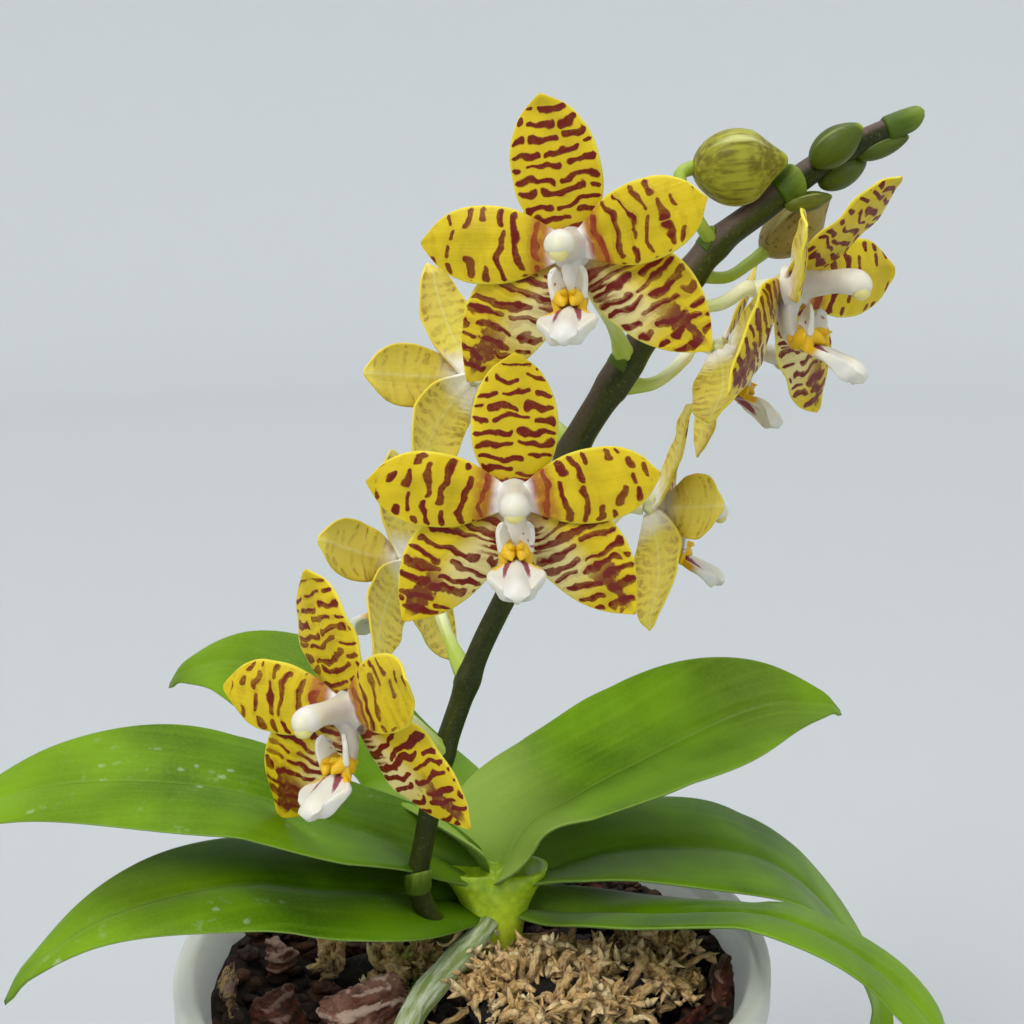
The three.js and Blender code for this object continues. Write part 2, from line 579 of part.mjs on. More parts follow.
function mossStrand(draw, at, size) {
  const turn = draw() * Math.PI * 2;
  const reach = 0.3 + 0.65 * draw();
  const foot = v3(at[0] + Math.cos(turn) * reach * size[0], at[1] + Math.sin(turn) * reach * size[1], at[2]);
  foot.z += size[2] * Math.sqrt(1 - reach * reach * 0.9) - 2;
  const lean = turn + (draw() - 0.5) * 2;
  const long = 5 + draw() * 4;
  const points = [0, 0.33, 0.66, 1].map((t) => [
    foot.x + Math.cos(lean + t * 1.6) * long * t * 0.7,
    foot.y + Math.sin(lean + t * 1.6) * long * t * 0.7,
    foot.z + long * 0.75 * Math.sin(t * 2.4) - 1,
  ]);
  return rod(points, [1.4, 1.3, 1.1, 0.7], { steps: 3, sides: 3 });
}

function buildMound({ at, size, strands }, draw) {
  const mound = new THREE.SphereGeometry(1, 11, 6);
  const place = mound.attributes.position;
  for (let i = 0; i < place.count; i += 1) {
    const p = v3().fromBufferAttribute(place, i);
    const lump = 1 + 0.09 * Math.sin(5 * p.x + 2 * p.z) * Math.cos(4 * p.y);
    place.setXYZ(i, p.x * lump, p.y * lump, p.z * lump);
  }
  mound.scale(...size).translate(...at);
  const tufts = Array.from({ length: strands }, () => mossStrand(draw, at, size));
  return union([solidFromGeometry(mound), ...tufts]);
}

function buildMoss({ seed, mounds }, cuts) {
  const draw = seeded(seed);
  const floor = new THREE.BoxGeometry(200, 200, 40).translate(0, 0, MIX_TOP + CLEARANCE - 20);
  const clump = union(mounds.map((mound) => buildMound(mound, draw)));
  return whole(clump.subtract(union([solidFromGeometry(floor), ...cuts])));
}

// Colours and roughness
const FINISH = {
  pot: [0xc6cfc8, 0.35],
  mix: [0x3a2a1f, 0.95],
  bark: [0x7a4a3a, 0.9],
  moss: [0xc2a574, 0.95],
  root: [0xa9b78f, 0.6],
  crown: [0x8fae1f, 0.45],
  leaf: [0x4f7d22, 0.4],
  spike: [0x3d4720, 0.55],
  pedicel: [0xd6dc9a, 0.5],
  tepals: [0xd3bb1f, 0.45],
  lip: [0xf3efe6, 0.4],
  bud: [0x9aa834, 0.45],
};

const orchid = new THREE.Group();
const add = (name, solid, finish) => orchid.add(meshOf(name, solid, FINISH[finish]));

const crownClear = buildCrown(CLEARANCE);
const rootClear = buildRoot(CLEARANCE);
const stalks = [...BLOOMS, ...BUDS].filter(({ stalk }) => stalk).map(({ stalk }) => stalk);
const spikeWhole = (grow) => union([spikeRod(grow), ...stalks.map((stalk) => buildBract(stalk, grow)),
  ...SHEATHS.map(({ base, tip, half }) => egg(base, tip, half + grow, { sides: 5, rings: 4 }))]);
const spikeClear = spikeWhole(CLEARANCE);
const chipsClear = BARK.map((chip) => buildChip(chip, 3 * CLEARANCE));

add('pot', buildPot(), 'pot');
add('potting_mix', buildMix(crownClear.add(rootClear)), 'mix');
BARK.forEach((chip, i) => add(`bark_chip_${i + 1}`, buildChip(chip), 'bark'));
MOSS.forEach((moss) => add(moss.name, buildMoss(moss, [crownClear, rootClear, ...chipsClear]), 'moss'));
add('aerial_root', buildRoot().subtract(crownClear), 'root');
add('crown', buildCrown(), 'crown');
Object.entries(LEAVES).forEach(([name, leaf]) => {
  add(name, whole(buildLeaf(leaf).subtract(union([crownClear, rootClear, spikeClear]))), 'leaf');
});
add('flower_spike', whole(spikeWhole(0).subtract(crownClear)), 'spike');
BLOOMS.forEach((bloom, i) => {
  const name = `bloom_${i + 1}`;
  add(`${name}_tepals`, buildTepals(bloom), 'tepals');
  add(`${name}_lip_column`, buildColumnAndLip(bloom), 'lip');
  add(`${name}_pedicel`, buildPedicel(bloom, spikeClear), 'pedicel');
});
BUDS.forEach((bud, i) => add(`bud_${i + 1}`, buildBud(bud, spikeClear), 'bud'));

export default orchid;
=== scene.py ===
"""Looks for the potted panther moth orchid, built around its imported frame.

Lengths in the classes are millimetres, and a piece's mesh is scaled to metres when it is made. The plant
faces -Y, +Z is up, and the origin is the centre of the pot's underside.
"""
import logging
import math
from dataclasses import dataclass
from enum import Enum
from typing import Any, Callable, Optional, Sequence, Union

import bmesh
import bpy
import numpy as np
from mathutils import Matrix, Vector, noise


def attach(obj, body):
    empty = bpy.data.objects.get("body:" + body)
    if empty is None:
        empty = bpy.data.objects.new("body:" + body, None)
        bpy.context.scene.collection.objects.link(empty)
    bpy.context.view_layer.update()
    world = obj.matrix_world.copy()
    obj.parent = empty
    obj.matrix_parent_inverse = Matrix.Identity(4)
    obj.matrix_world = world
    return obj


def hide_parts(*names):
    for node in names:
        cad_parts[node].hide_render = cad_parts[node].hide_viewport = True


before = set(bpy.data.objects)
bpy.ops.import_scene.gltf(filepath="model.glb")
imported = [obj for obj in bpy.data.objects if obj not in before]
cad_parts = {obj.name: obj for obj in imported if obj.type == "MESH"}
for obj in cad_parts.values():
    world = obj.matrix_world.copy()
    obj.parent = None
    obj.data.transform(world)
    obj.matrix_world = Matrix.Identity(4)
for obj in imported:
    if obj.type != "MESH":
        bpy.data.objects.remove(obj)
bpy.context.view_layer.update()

MM = 0.001
POT_HEIGHT = 108.0
RIM_RADIUS = 60.0
FOOT_RADIUS = 44.0
WALL = 1.5
RIM_WIDTH = 3.4
LIP_DROP = 7.0
MIX_TOP = POT_HEIGHT - 13
CROWN_AT = (4.6, 1.5)
CROWN_RADIUS = 5.3
CROWN_TOP = 123.0
MOSS_OFF_CROWN = 1.5
MOSS_OFF_ROOT = 4.0
RECEPTACLE_BACK = -2.4
FLESH_RADIUS = (1.0, 0.75, 0.25)
FLESH_IOR = 1.42
WAX_ROUGHNESS = 0.3
LEAST_LENGTH = 1e-12

Array = np.ndarray
Material = bpy.types.Material
Object = bpy.types.Object
Point = Sequence[float]
Knots = Sequence[Point]
log = logging.getLogger("orchid")


class Slot(Enum):
    """The record's material slots."""

    POT = "clear_pot"
    MIX = "potting_mix"
    BARK = "bark"
    MOSS = "moss"
    ROOT = "root"
    CROWN = "crown"
    LEAF = "leaf"
    SPIKE = "spike"
    TEPALS = "tepals"
    LIP = "lip"
    PEDICEL = "pedicel"
    BUD = "bud"


class LipPart(Enum):
    """The parts of a lip and column, as the lip's finish reads them from the trait mark."""

    COLUMN = 0.0
    FOOT = 1.0
    SIDE_LOBE = 2.0
    CALLUS = 3.0
    MID_LOBE = 4.0


class StemPart(Enum):
    """The parts of the spike, as its finish reads them from the trait mark."""

    STEM = 0.0
    BRACT = 1.0
    DRY_SHEATH = 2.0


def paint(word: str) -> tuple[float, float, float, float]:
    """Turn a colour's sRGB hex word into linear light.

    Args:
        word: Six hex digits.

    Returns:
        Red, green, blue and alpha, as a colour socket takes them.
    """
    parts = [int(word[i:i + 2], 16) / 255 for i in (0, 2, 4)]
    red, green, blue = (c / 12.92 if c <= 0.04045 else ((c + 0.055) / 1.055) ** 2.4 for c in parts)
    return (red, green, blue, 1.0)


def unit(vectors: Array) -> Array:
    """Scale vectors to length one along the last axis."""
    return vectors / np.maximum(np.linalg.norm(vectors, axis=-1, keepdims=True), LEAST_LENGTH)


def ease(value: Any, low: float, high: float) -> Any:
    """Rise smoothly from 0 at low to 1 at high."""
    share = np.clip((np.asarray(value, float) - low) / (high - low), 0, 1)
    return share * share * (3 - 2 * share)


def stack(*parts: Any) -> Array:
    """Join numbers and grids, spread to one shape, along a new last axis."""
    return np.stack(np.broadcast_arrays(*parts), -1)


def even(count: int) -> Array:
    """Even shares from 0 to 1."""
    return np.linspace(0, 1, count)


def circle(count: int) -> Array:
    """Even angles round a circle."""
    return np.linspace(0, 2 * math.pi, count, endpoint=False)


def settle(count: int, start: float = 0.0) -> Array:
    """Shares from 0 to 1, close together at both ends."""
    return 0.5 - 0.5 * np.cos(np.linspace(start, 1, count) * math.pi)


def along(knots: Sequence[float], share: Any) -> Any:
    """Read a value off evenly spaced knots at a share from 0 to 1."""
    return np.interp(share, even(len(knots)), knots)


def dome(value: Any) -> Any:
    """The height of a round top at a distance from its middle, 1 there and 0 from a distance of 1."""
    return np.sqrt(np.clip(1 - value ** 2, 0, 1))


def spread(count: int) -> Array:
    """Places from -1 to 1 across a blade, close together at its edges."""
    return np.sin(np.linspace(-1, 1, count) * math.pi / 2)


def rounded(share: Array, width: float) -> Array:
    """How full a blade is at a share of the way in from its edge, rounded within a width."""
    return dome(np.clip((width - share) / width, 0, 1))


def spin(angle: float) -> Array:
    """A turn about the upright axis."""
    c, s = math.cos(angle), math.sin(angle)
    return np.array(((c, s, 0), (-s, c, 0), (0, 0, 1)))


def put(name: str, data: Any) -> Object:
    """Place a mesh, light or camera in the scene."""
    made = bpy.data.objects.new(name, data)
    bpy.context.scene.collection.objects.link(made)
    return made


class Run:
    """A smooth line through chosen points, read by its share of length."""

    SAMPLES = 48

    def __init__(self, knots: Knots) -> None:
        """Trace the line.

        Args:
            knots: The points it passes through, in millimetres.
        """
        knots = np.asarray(knots, float)
        ends = np.vstack([2 * knots[0] - knots[1], knots, 2 * knots[-1] - knots[-2]])
        steps = np.maximum(np.linalg.norm(np.diff(ends, axis=0), axis=1) ** 0.5, 1e-4)
        share = np.linspace(0, 1, self.SAMPLES, endpoint=False)[:, None]
        spans = [self._span(ends[i:i + 4], steps[i:i + 3], share) for i in range(len(knots) - 1)]
        self.points = np.vstack([*spans, knots[-1:]])
        gaps = np.linalg.norm(np.diff(self.points, axis=0), axis=1)
        self.reach = np.concatenate([[0], np.cumsum(gaps)])

    @staticmethod
    def _span(p: Array, d: Array, w: Array) -> Array:
        """Trace one centripetal Catmull-Rom span.

        Args:
            p: Its four points.
            d: The knot steps between them.
            w: Shares of the span.

        Returns:
            The points at those shares.
        """
        lead = ((p[1] - p[0]) / d[0] - (p[2] - p[0]) / (d[0] + d[1]) + (p[2] - p[1]) / d[1]) * d[1]
        trail = ((p[2] - p[1]) / d[1] - (p[3] - p[1]) / (d[1] + d[2]) + (p[3] - p[2]) / d[2]) * d[1]
        square = -3 * p[1] + 3 * p[2] - 2 * lead - trail
        cube = 2 * p[1] - 2 * p[2] + lead + trail
        return p[1] + lead * w + square * w ** 2 + cube * w ** 3

    @property
    def length(self) -> float:
        """The line's length."""
        return float(self.reach[-1])

    def at(self, share: Any) -> Array:
        """The points at shares of the length."""
        want = np.clip(share, 0, 1) * self.length
        return np.stack([np.interp(want, self.reach, self.points[:, k]) for k in range(3)], -1)

    def ways(self, share: Any) -> Array:
        """The unit directions at shares of the length."""
        share = np.asarray(share, float)
        return unit(self.at(np.minimum(share + 0.004, 1)) - self.at(np.maximum(share - 0.004, 0)))

    def nearest(self, point: Point) -> float:
        """The share of the length that lies nearest to a point."""
        shares = even(401)
        return float(shares[np.argmin(np.linalg.norm(self.at(shares) - np.asarray(point), axis=-1))])


Value = Union["Wire", float, int, tuple]
Colour = Union["Wire", str]


def operator(operation: str, turned: bool = False) -> Callable[..., "Wire"]:
    """Make an operator of Wire.

    Args:
        operation: What its Math node works out.
        turned: Whether the other value comes first.

    Returns:
        The operator.
    """
    def work(*values: Value) -> "Wire":
        """Work it out for a wire and any value beside it."""
        return values[0].shop.maths(operation, *(values[::-1] if turned else values))

    return work


class Wire:
    """One output socket, with arithmetic that adds the Math nodes it needs."""

    def __init__(self, shop: "Shader", socket: bpy.types.NodeSocket) -> None:
        """Wrap a socket of a shader's tree."""
        self.shop = shop
        self.socket = socket

    __add__ = __radd__ = operator("ADD")
    __mul__ = __rmul__ = operator("MULTIPLY")
    __sub__, __rsub__ = operator("SUBTRACT"), operator("SUBTRACT", True)
    __truediv__ = operator("DIVIDE")
    __gt__ = operator("GREATER_THAN")
    __lt__ = operator("LESS_THAN")
    __abs__ = operator("ABSOLUTE")
    least = operator("MINIMUM")
    most = operator("MAXIMUM")
    floor = operator("FLOOR")
    root = operator("SQRT")

    def parts(self) -> tuple["Wire", "Wire", "Wire"]:
        """The three numbers of a vector."""
        split = self.shop.node("ShaderNodeSeparateXYZ", sockets={0: self}).socket.node
        return tuple(Wire(self.shop, socket) for socket in split.outputs)

    def rise(self, low: float, high: float) -> "Wire":
        """Rise smoothly from 0 at low to 1 at high, or fall where low is the higher."""
        sockets = {"Value": self, "From Min": low, "From Max": high}
        return self.shop.node("ShaderNodeMapRange", {"interpolation_type": "SMOOTHSTEP"}, sockets)


class Shader:
    """A material's node tree, made from expressions."""

    def __init__(self, name: str) -> None:
        """Start an empty material.

        Args:
            name: The material's name.
        """
        self.material = bpy.data.materials.new(name)
        self.material.use_nodes = True
        self.tree = self.material.node_tree
        self.tree.nodes.clear()

    def node(self, kind: str, settings: Optional[dict[str, Any]] = None,
             sockets: Optional[dict[Any, Value]] = None, output: int = 0) -> Wire:
        """Add one node.

        Args:
            kind: The node's type.
            settings: Its own settings, which are set first. stops holds a ramp's places and hex words.
            sockets: Values or links of its inputs, by name or number.
            output: The output to hand back.

        Returns:
            That output, or the node's first input where it has no output.
        """
        made = self.tree.nodes.new(kind)
        for name, value in (settings or {}).items():
            if name == "stops":
                ramp = made.color_ramp
                for place, _ in value[1:-1]:
                    ramp.elements.new(place)
                for element, (place, colour) in zip(ramp.elements, value):
                    element.position = place
                    element.color = paint(colour)
            else:
                setattr(made, name, value)
        for key, value in (sockets or {}).items():
            if isinstance(value, Wire):
                self.tree.links.new(value.socket, made.inputs[key])
            else:
                made.inputs[key].default_value = value
        return Wire(self, made.outputs[output]) if made.outputs else Wire(self, made.inputs[0])

    def maths(self, operation: str, *values: Value) -> Wire:
        """Work out one Math node."""
        return self.node("ShaderNodeMath", {"operation": operation}, dict(enumerate(values)))

    def mark(self, name: str) -> Wire:
        """Read a vector that the mesh holds at each point."""
        return self.node("ShaderNodeAttribute", {"attribute_name": name}, output=1)

    def vector(self, x: Value, y: Value, z: Value) -> Wire:
        """Join three numbers in a vector."""
        return self.node("ShaderNodeCombineXYZ", sockets={0: x, 1: y, 2: z})

    def stretch(self, vector: Wire, scale: tuple[float, float, float]) -> Wire:
        """Scale a vector along its axes."""
        return self.node("ShaderNodeVectorMath", {"operation": "MULTIPLY"}, {0: vector, 1: scale})

    def cloud(self, vector: Wire, scale: float = 1.0, detail: float = 2.0, rough: float = 0.5) -> Wire:
        """Read a soft noise, about 0.5 on average."""
        sockets = {"Vector": vector, "Scale": scale, "Detail": detail, "Roughness": rough}
        return self.node("ShaderNodeTexNoise", sockets=sockets)

    def dice(self, x: Value, y: Value, z: Value) -> tuple["Wire", "Wire", "Wire"]:
        """Draw three even random numbers for each whole triple."""
        drawn = self.node("ShaderNodeTexWhiteNoise", sockets={"Vector": self.vector(x, y, z)}, output=1)
        return drawn.parts()

    def cells(self, vector: Wire, scale: float = 1.0, feature: str = "F1", output: int = 0) -> Wire:
        """Read the distance to scattered points, or another output of that pattern."""
        sockets = {"Vector": vector, "Scale": scale}
        return self.node("ShaderNodeTexVoronoi", {"feature": feature}, sockets, output)

    def tint(self, share: Value, first: Colour, second: Colour) -> Wire:
        """Blend two colours, wires or hex words, by how much of the second shows."""
        first, second = (paint(end) if isinstance(end, str) else end for end in (first, second))
        return self.node("ShaderNodeMix", {"data_type": "RGBA"}, {0: share, 6: first, 7: second}, 2)

    def layers(self, colour: Colour, *coats: tuple[Value, Colour]) -> Wire:
        """Lay coats of colour over a first one, each with how much of it shows."""
        for share, coat in coats:
            colour = self.tint(share, colour, coat)
        return colour

    def bump(self, height: Wire, distance: float, strength: float = 1.0) -> Wire:
        """Turn a height into a normal, distance being millimetres of relief."""
        return self.node("ShaderNodeBump", sockets={"Strength": strength, "Distance": distance * MM,
                                                    "Height": height})

    def surface(self, colour: Wire, rough: Wire, normal: Optional[Wire],
                others: dict[str, Value]) -> Material:
        """Finish the material with a Principled shader.

        Args:
            colour: Its base colour.
            rough: Its roughness.
            normal: Its normal, where it has relief.
            others: Values of more sockets.

        Returns:
            The finished material.
        """
        sockets = {"Base Color": colour, "Roughness": rough, **others}
        if normal is not None:
            sockets["Normal"] = normal
        body = self.node("ShaderNodeBsdfPrincipled", sockets=sockets)
        self.node("ShaderNodeOutputMaterial", sockets={"Surface": body})
        return self.material


def living(weight: float, depth: float, coat: float = 0.0, gloss: float = 0.5) -> dict[str, Value]:
    """The sockets of plant tissue, by how much light goes under its skin, how deep, its wax and its shine."""
    return {"Subsurface Weight": weight, "Subsurface Radius": FLESH_RADIUS, "Subsurface Scale": depth * MM,
            "Coat Weight": coat, "Coat Roughness": WAX_ROUGHNESS, "IOR": FLESH_IOR,
            "Specular IOR Level": gloss}


@dataclass(frozen=True)
class TepalFinish:
    """Waxy yellow tepals with rows of dark red-brown dashes, a white heart and paler backs."""

    yellow: str = "d6bb1a"
    olive: str = "b09a12"
    rim: str = "e6d94a"
    cream: str = "dcd096"
    bar: str = "6a1405"
    bar_edge: str = "98380f"
    blotch: str = "6c1f1a"
    blush: str = "a04a24"
    heart: str = "f8f3ef"
    back: str = "f0da62"
    back_mark: str = "9c6a28"
    keel: str = "f2ecb0"
    green: str = "e4e6b4"
    spacing: float = 2.1
    petal_gap: float = 0.7
    lateral_gap: float = 0.25
    bar_half: float = 0.50
    slant: float = 0.40
    fine_spacing: float = 1.3

    def dashes(self, shop: Shader, u: Wire, bent: Wire, gap: Wire, long: Wire, w: Wire, half: Wire,
               skip: Wire) -> Wire:
        """Lay rows of round-ended dashes.

        Args:
            shop: The material in the making.
            u: The place across the tepal.
            bent: The place along it, bent as the rows run.
            gap: The distance between rows.
            long: How long a dash is, the same all along a row.
            w: Sets the tepal apart.
            half: Half a dash's thickness.
            skip: How far some dashes are left out.

        Returns:
            One in the dashes, and zero between them.
        """
        row = (bent / gap).floor()
        first, _, _ = shop.dice(row, w, 3.0)
        place = (u + first * 23 + 60) / long
        cell = place.floor()
        shift, tilt, weight = shop.dice(cell, row, w)
        beside = (place - cell - 0.5) * long
        off = bent - (row + 0.5) * gap - (shift - 0.5) * gap * 0.42 - beside * (tilt - 0.5) * 0.34
        past = (abs(beside) - long * 0.5 + half + tilt * 0.5 - 0.05).most(0.0)
        away = (off * off + past * past).root()
        slender = 1 - (beside / long) * (beside / long) * 0.5
        return (half * slender * (weight * 0.45 + 0.78) - away - (weight < 0.25) * skip).rise(-0.10, 0.12)

    def material(self) -> Material:
        """Make the material."""
        shop = Shader("tepals")
        u, v, w = shop.mark("place").parts()
        s, t, side = shop.mark("blade").parts()
        inner, kind, knob = shop.mark("trait").parts()
        lateral = kind.rise(0.6, 0.9)
        petal = 1 - abs(kind - 0.5).rise(0.0, 0.3)
        reach = abs(s)
        flat = shop.vector(u, v, w)
        inward = s * inner

        sway = shop.cloud(shop.vector(u * 0.26, v * 0.26, w), detail=1.0) - 0.5
        bead = shop.cloud(shop.vector(u * 1.05, v * 1.05, w + 83), detail=1.0)
        wide = shop.cloud(flat, 0.16, 3.0)
        fine = shop.cloud(flat, 0.9, 3.0)
        gap = petal * self.petal_gap + lateral * self.lateral_gap + self.spacing
        bent = v + sway * 3.4 + u * inner * self.slant + u * u * (petal * 0.034 + 0.006) + 40
        row_share = ((bent / gap).floor() * gap - 40) / 24.0
        shorter = petal * -5.2 - lateral * 5.0 - 3.0
        long = row_share.rise(0.25, 0.80) * shorter + 8.0 + petal * 2.8 + lateral * 6.0
        half = self.bar_half + lateral * 0.12 + petal * row_share.rise(0.6, 0.3) * 0.12
        half = half * (bead * 1.1 + 0.45) - reach.rise(0.88, 1.0) * 0.75 - t.rise(0.90, 0.97) * 0.9
        bars = self.dashes(shop, u, bent, gap, long, w, half, petal * row_share.rise(0.35, 0.6))
        steep = v + u * inner * 0.62 + sway * 1.2
        line = (steep / self.fine_spacing).floor()
        thin = 0.34 - abs(steep - (line + 0.5) * self.fine_spacing)
        thin = thin + (bead - 0.5) * 0.5 - reach.rise(0.82, 0.97)
        thin = thin.rise(-0.06, 0.10) * inward.rise(0.2, 0.5) * t.rise(0.42, 0.30) * t.rise(0.10, 0.16)
        bars = bars.most(thin * lateral)

        ground = shop.layers(
            self.yellow,
            (wide.rise(0.35, 0.75) * reach.rise(0.95, 0.2) * 0.7, self.olive),
            (lateral * inward.rise(-0.25, 0.4) * t.rise(0.78, 0.50) * 0.85, self.cream),
            (reach.rise(0.88, 0.99) * 0.6, self.rim))
        dark = shop.tint(bars.rise(1.0, 0.45) * 0.6 + fine.rise(0.55, 0.8) * 0.25, self.bar, self.bar_edge)
        face = shop.tint(bars, ground, dark)

        tip = t.rise(0.56, 0.72) * t.rise(0.97, 0.90) * (reach + wide * 1.1 - fine * 0.5).rise(0.68, 0.60)
        tip = tip * lateral * (fine.rise(0.30, 0.52) * 0.25 + 0.75)
        face = shop.tint(tip * 0.92, face, self.blotch)
        ends = 0.17 + petal * 0.11 + lateral * 0.06
        blush = (ends - t - (wide - 0.5) * 0.14).rise(-0.045, 0.055) * fine.rise(0.15, 0.50)
        face = shop.tint(blush * (petal * 0.35 + 0.4), face, self.blush)
        heart = (ends * 0.5 - t - (wide - 0.5) * 0.06).rise(-0.045, 0.05)
        face = shop.tint(heart, face, self.heart)

        back = shop.layers(
            self.back,
            (wide.rise(0.3, 0.7) * 0.5, self.rim),
            (reach.rise(0.45, 1.0) * 0.4, self.yellow))
        shown = bars * (reach.rise(0.1, 0.9) * 0.5 + 0.22) * fine.rise(0.2, 0.7)
        back = shop.layers(
            back,
            (shown, self.back_mark),
            ((1 - abs(u) / 0.55).rise(0.0, 0.9) * 0.3, self.keel),
            ((t + wide * 0.16).rise(0.40, 0.16) * 0.9, self.heart))
        colour = shop.layers(
            back,
            (side.rise(-0.5, 0.5), face),
            (knob, self.green))

        veins = shop.cloud(shop.vector(u * 1.9, v * 0.07, w), detail=2.0)
        height = veins * 0.6 + fine * 0.30 + bars * 0.30
        return shop.surface(colour, fine * 0.16 + 0.38, shop.bump(height, 0.20, 0.8),
                            living(0.10, 1.0, 0.0, 0.28))


@dataclass(frozen=True)
class LipFinish:
    """A waxy white column and lip, golden at the side lobes, with purple-red stripes on the mid lobe."""

    white: str = "dddad2"
    cream: str = "e0dabd"
    cap: str = "e2d588"
    gold: str = "e6b81f"
    amber: str = "a4601c"
    stripe: str = "86183c"

    def material(self) -> Material:
        """Make the material."""
        shop = Shader("lip")
        place = shop.mark("place")
        u, v, _ = place.parts()
        _, t, _ = shop.mark("blade").parts()
        part, cap, gold = shop.mark("trait").parts()
        wide = shop.cloud(place, 0.35, 2.0)
        fine = shop.cloud(place, 1.8, 3.0)
        lobe = (part > 1.5) * (part < 2.5)
        mid = part > 3.5

        colour = shop.layers(
            self.white,
            (wide.rise(0.35, 0.7) * 0.5, self.cream),
            (cap, self.cap))
        golden = (gold + (wide - 0.5) * 0.7).rise(0.3, 0.7)
        colour = shop.tint(golden, colour, self.gold)
        edge = golden * (1 - golden) * 4
        colour = shop.tint(edge * (1 - mid) * 0.45, colour, self.amber)
        spots = (0.22 - shop.cells(place, 0.62)).rise(0.0, 0.10) * t.rise(0.35, 0.55) * t.rise(0.95, 0.75)
        colour = shop.tint(spots * lobe * 0.8, colour, self.stripe)

        spread = abs(abs(u) - (v * 0.24 - 0.10))
        width = (0.95 - abs(v - 4.8) * 0.12) * (fine * 0.8 + 0.6)
        stripes = (width - spread).rise(-0.05, 0.25) * v.rise(1.2, 2.4) * v.rise(9.0, 7.4) * mid
        colour = shop.tint(stripes * 0.92, colour, self.stripe)
        return shop.surface(colour, fine * 0.15 + 0.30, shop.bump(fine + wide, 0.10, 0.5),
                            living(0.18, 1.2, 0.04, 0.4))


@dataclass(frozen=True)
class LeafFinish:
    """A leathery green leaf with long fine veins, a paler base, midrib and margin, dried water spots, painted
    shade at the base and a painted sheen toward the tip.
    """

    green: str = "67900a"
    # deep: the leaf's dark green, also used as painted shade toward the crown.
    deep: str = "345504"
    # fresh: light green for the veins and tone, also a painted sheen toward the tip.
    fresh: str = "86a82a"
    base: str = "a3bf58"
    midrib: str = "7f9c46"
    margin: str = "8fa85a"
    under: str = "65803a"
    water: str = "b7c2a4"

    def material(self) -> Material:
        """Make the material."""
        shop = Shader("leaf")
        u, v, w = shop.mark("place").parts()
        s, t, side = shop.mark("blade").parts()
        pale, spotted, _ = shop.mark("trait").parts()
        reach = abs(s)
        flat = shop.vector(u, v, w)
        wide = shop.cloud(flat, 0.035, 3.0)
        veins = shop.cloud(shop.vector(u * 0.8, v * 0.010, w), detail=2.0)
        fine = shop.cloud(flat, 1.6, 3.0)

        colour = shop.layers(
            self.deep,
            (wide.rise(0.3, 0.7), self.green),
            (veins.rise(0.40, 0.75) * 0.16, self.fresh),
            (fine.rise(0.35, 0.75) * 0.14, self.fresh),
            # Painted highlight: the blade lightens toward its tip, standing in for the sheen of light on it.
            (t.rise(0.5, 0.85) * 0.35, self.fresh),
            # Painted shade: where the pale mark is low, the blade darkens toward the crown to stand in for
            # the shade there.
            (t.rise(0.60, 0.15) * (1 - pale) * 0.55, self.deep),
            (t.rise(0.34, 0.0) * pale * 0.9, self.base),
            ((0.6 - abs(u)).rise(0.0, 0.5) * t.rise(0.97, 0.7) * 0.35, self.midrib),
            (reach.rise(0.985, 0.996) * 0.45, self.margin))
        drops = shop.cells(shop.vector(u * 0.25, v * 0.18, w), 1.0)
        patch = shop.cloud(flat, 0.05, 2.0).rise(0.50, 0.64)
        dried = (0.20 - drops + (fine - 0.5) * 0.2).rise(0.0, 0.10) * patch * spotted
        film = shop.cloud(flat, 0.32, 4.0, 0.65).rise(0.56, 0.72) * patch * spotted
        colour = shop.layers(
            colour,
            ((dried * 0.40).most(film * 0.20), self.water),
            (side.rise(0.3, -0.3) * 0.7, self.under))

        rough = veins * 0.10 + fine * 0.10 + side.rise(0.3, -0.3) * 0.15 + film * 0.15 + 0.28
        height = veins * 0.8 + fine * 0.25
        return shop.surface(colour, rough, shop.bump(height, 0.16, 0.5), living(0.05, 1.0, 0.0, 0.10))


@dataclass(frozen=True)
class CrownFinish:
    """The yellow-green leaf bases that clasp the stem, with a few pale scars."""

    bright: str = "d2e83a"
    green: str = "86ab14"
    scar: str = "d8d4a0"

    def material(self) -> Material:
        """Make the material."""
        shop = Shader("crown")
        place = shop.mark("place")
        _, t, _ = shop.mark("blade").parts()
        streak = shop.cloud(shop.stretch(place, (0.6, 0.06, 0.6)), detail=3.0)
        fine = shop.cloud(place, 1.5, 2.0)
        colour = shop.tint((streak * 0.5 + t * 0.8).rise(0.55, 1.15), self.bright, self.green)
        scars = (0.16 - shop.cells(place, 0.26)).rise(0.0, 0.05) * t.rise(0.85, 0.55)
        colour = shop.tint(scars, colour, self.scar)
        return shop.surface(colour, fine * 0.15 + 0.30, shop.bump(streak + fine * 0.3, 0.25, 0.6),
                            living(0.12, 1.5, 0.1))


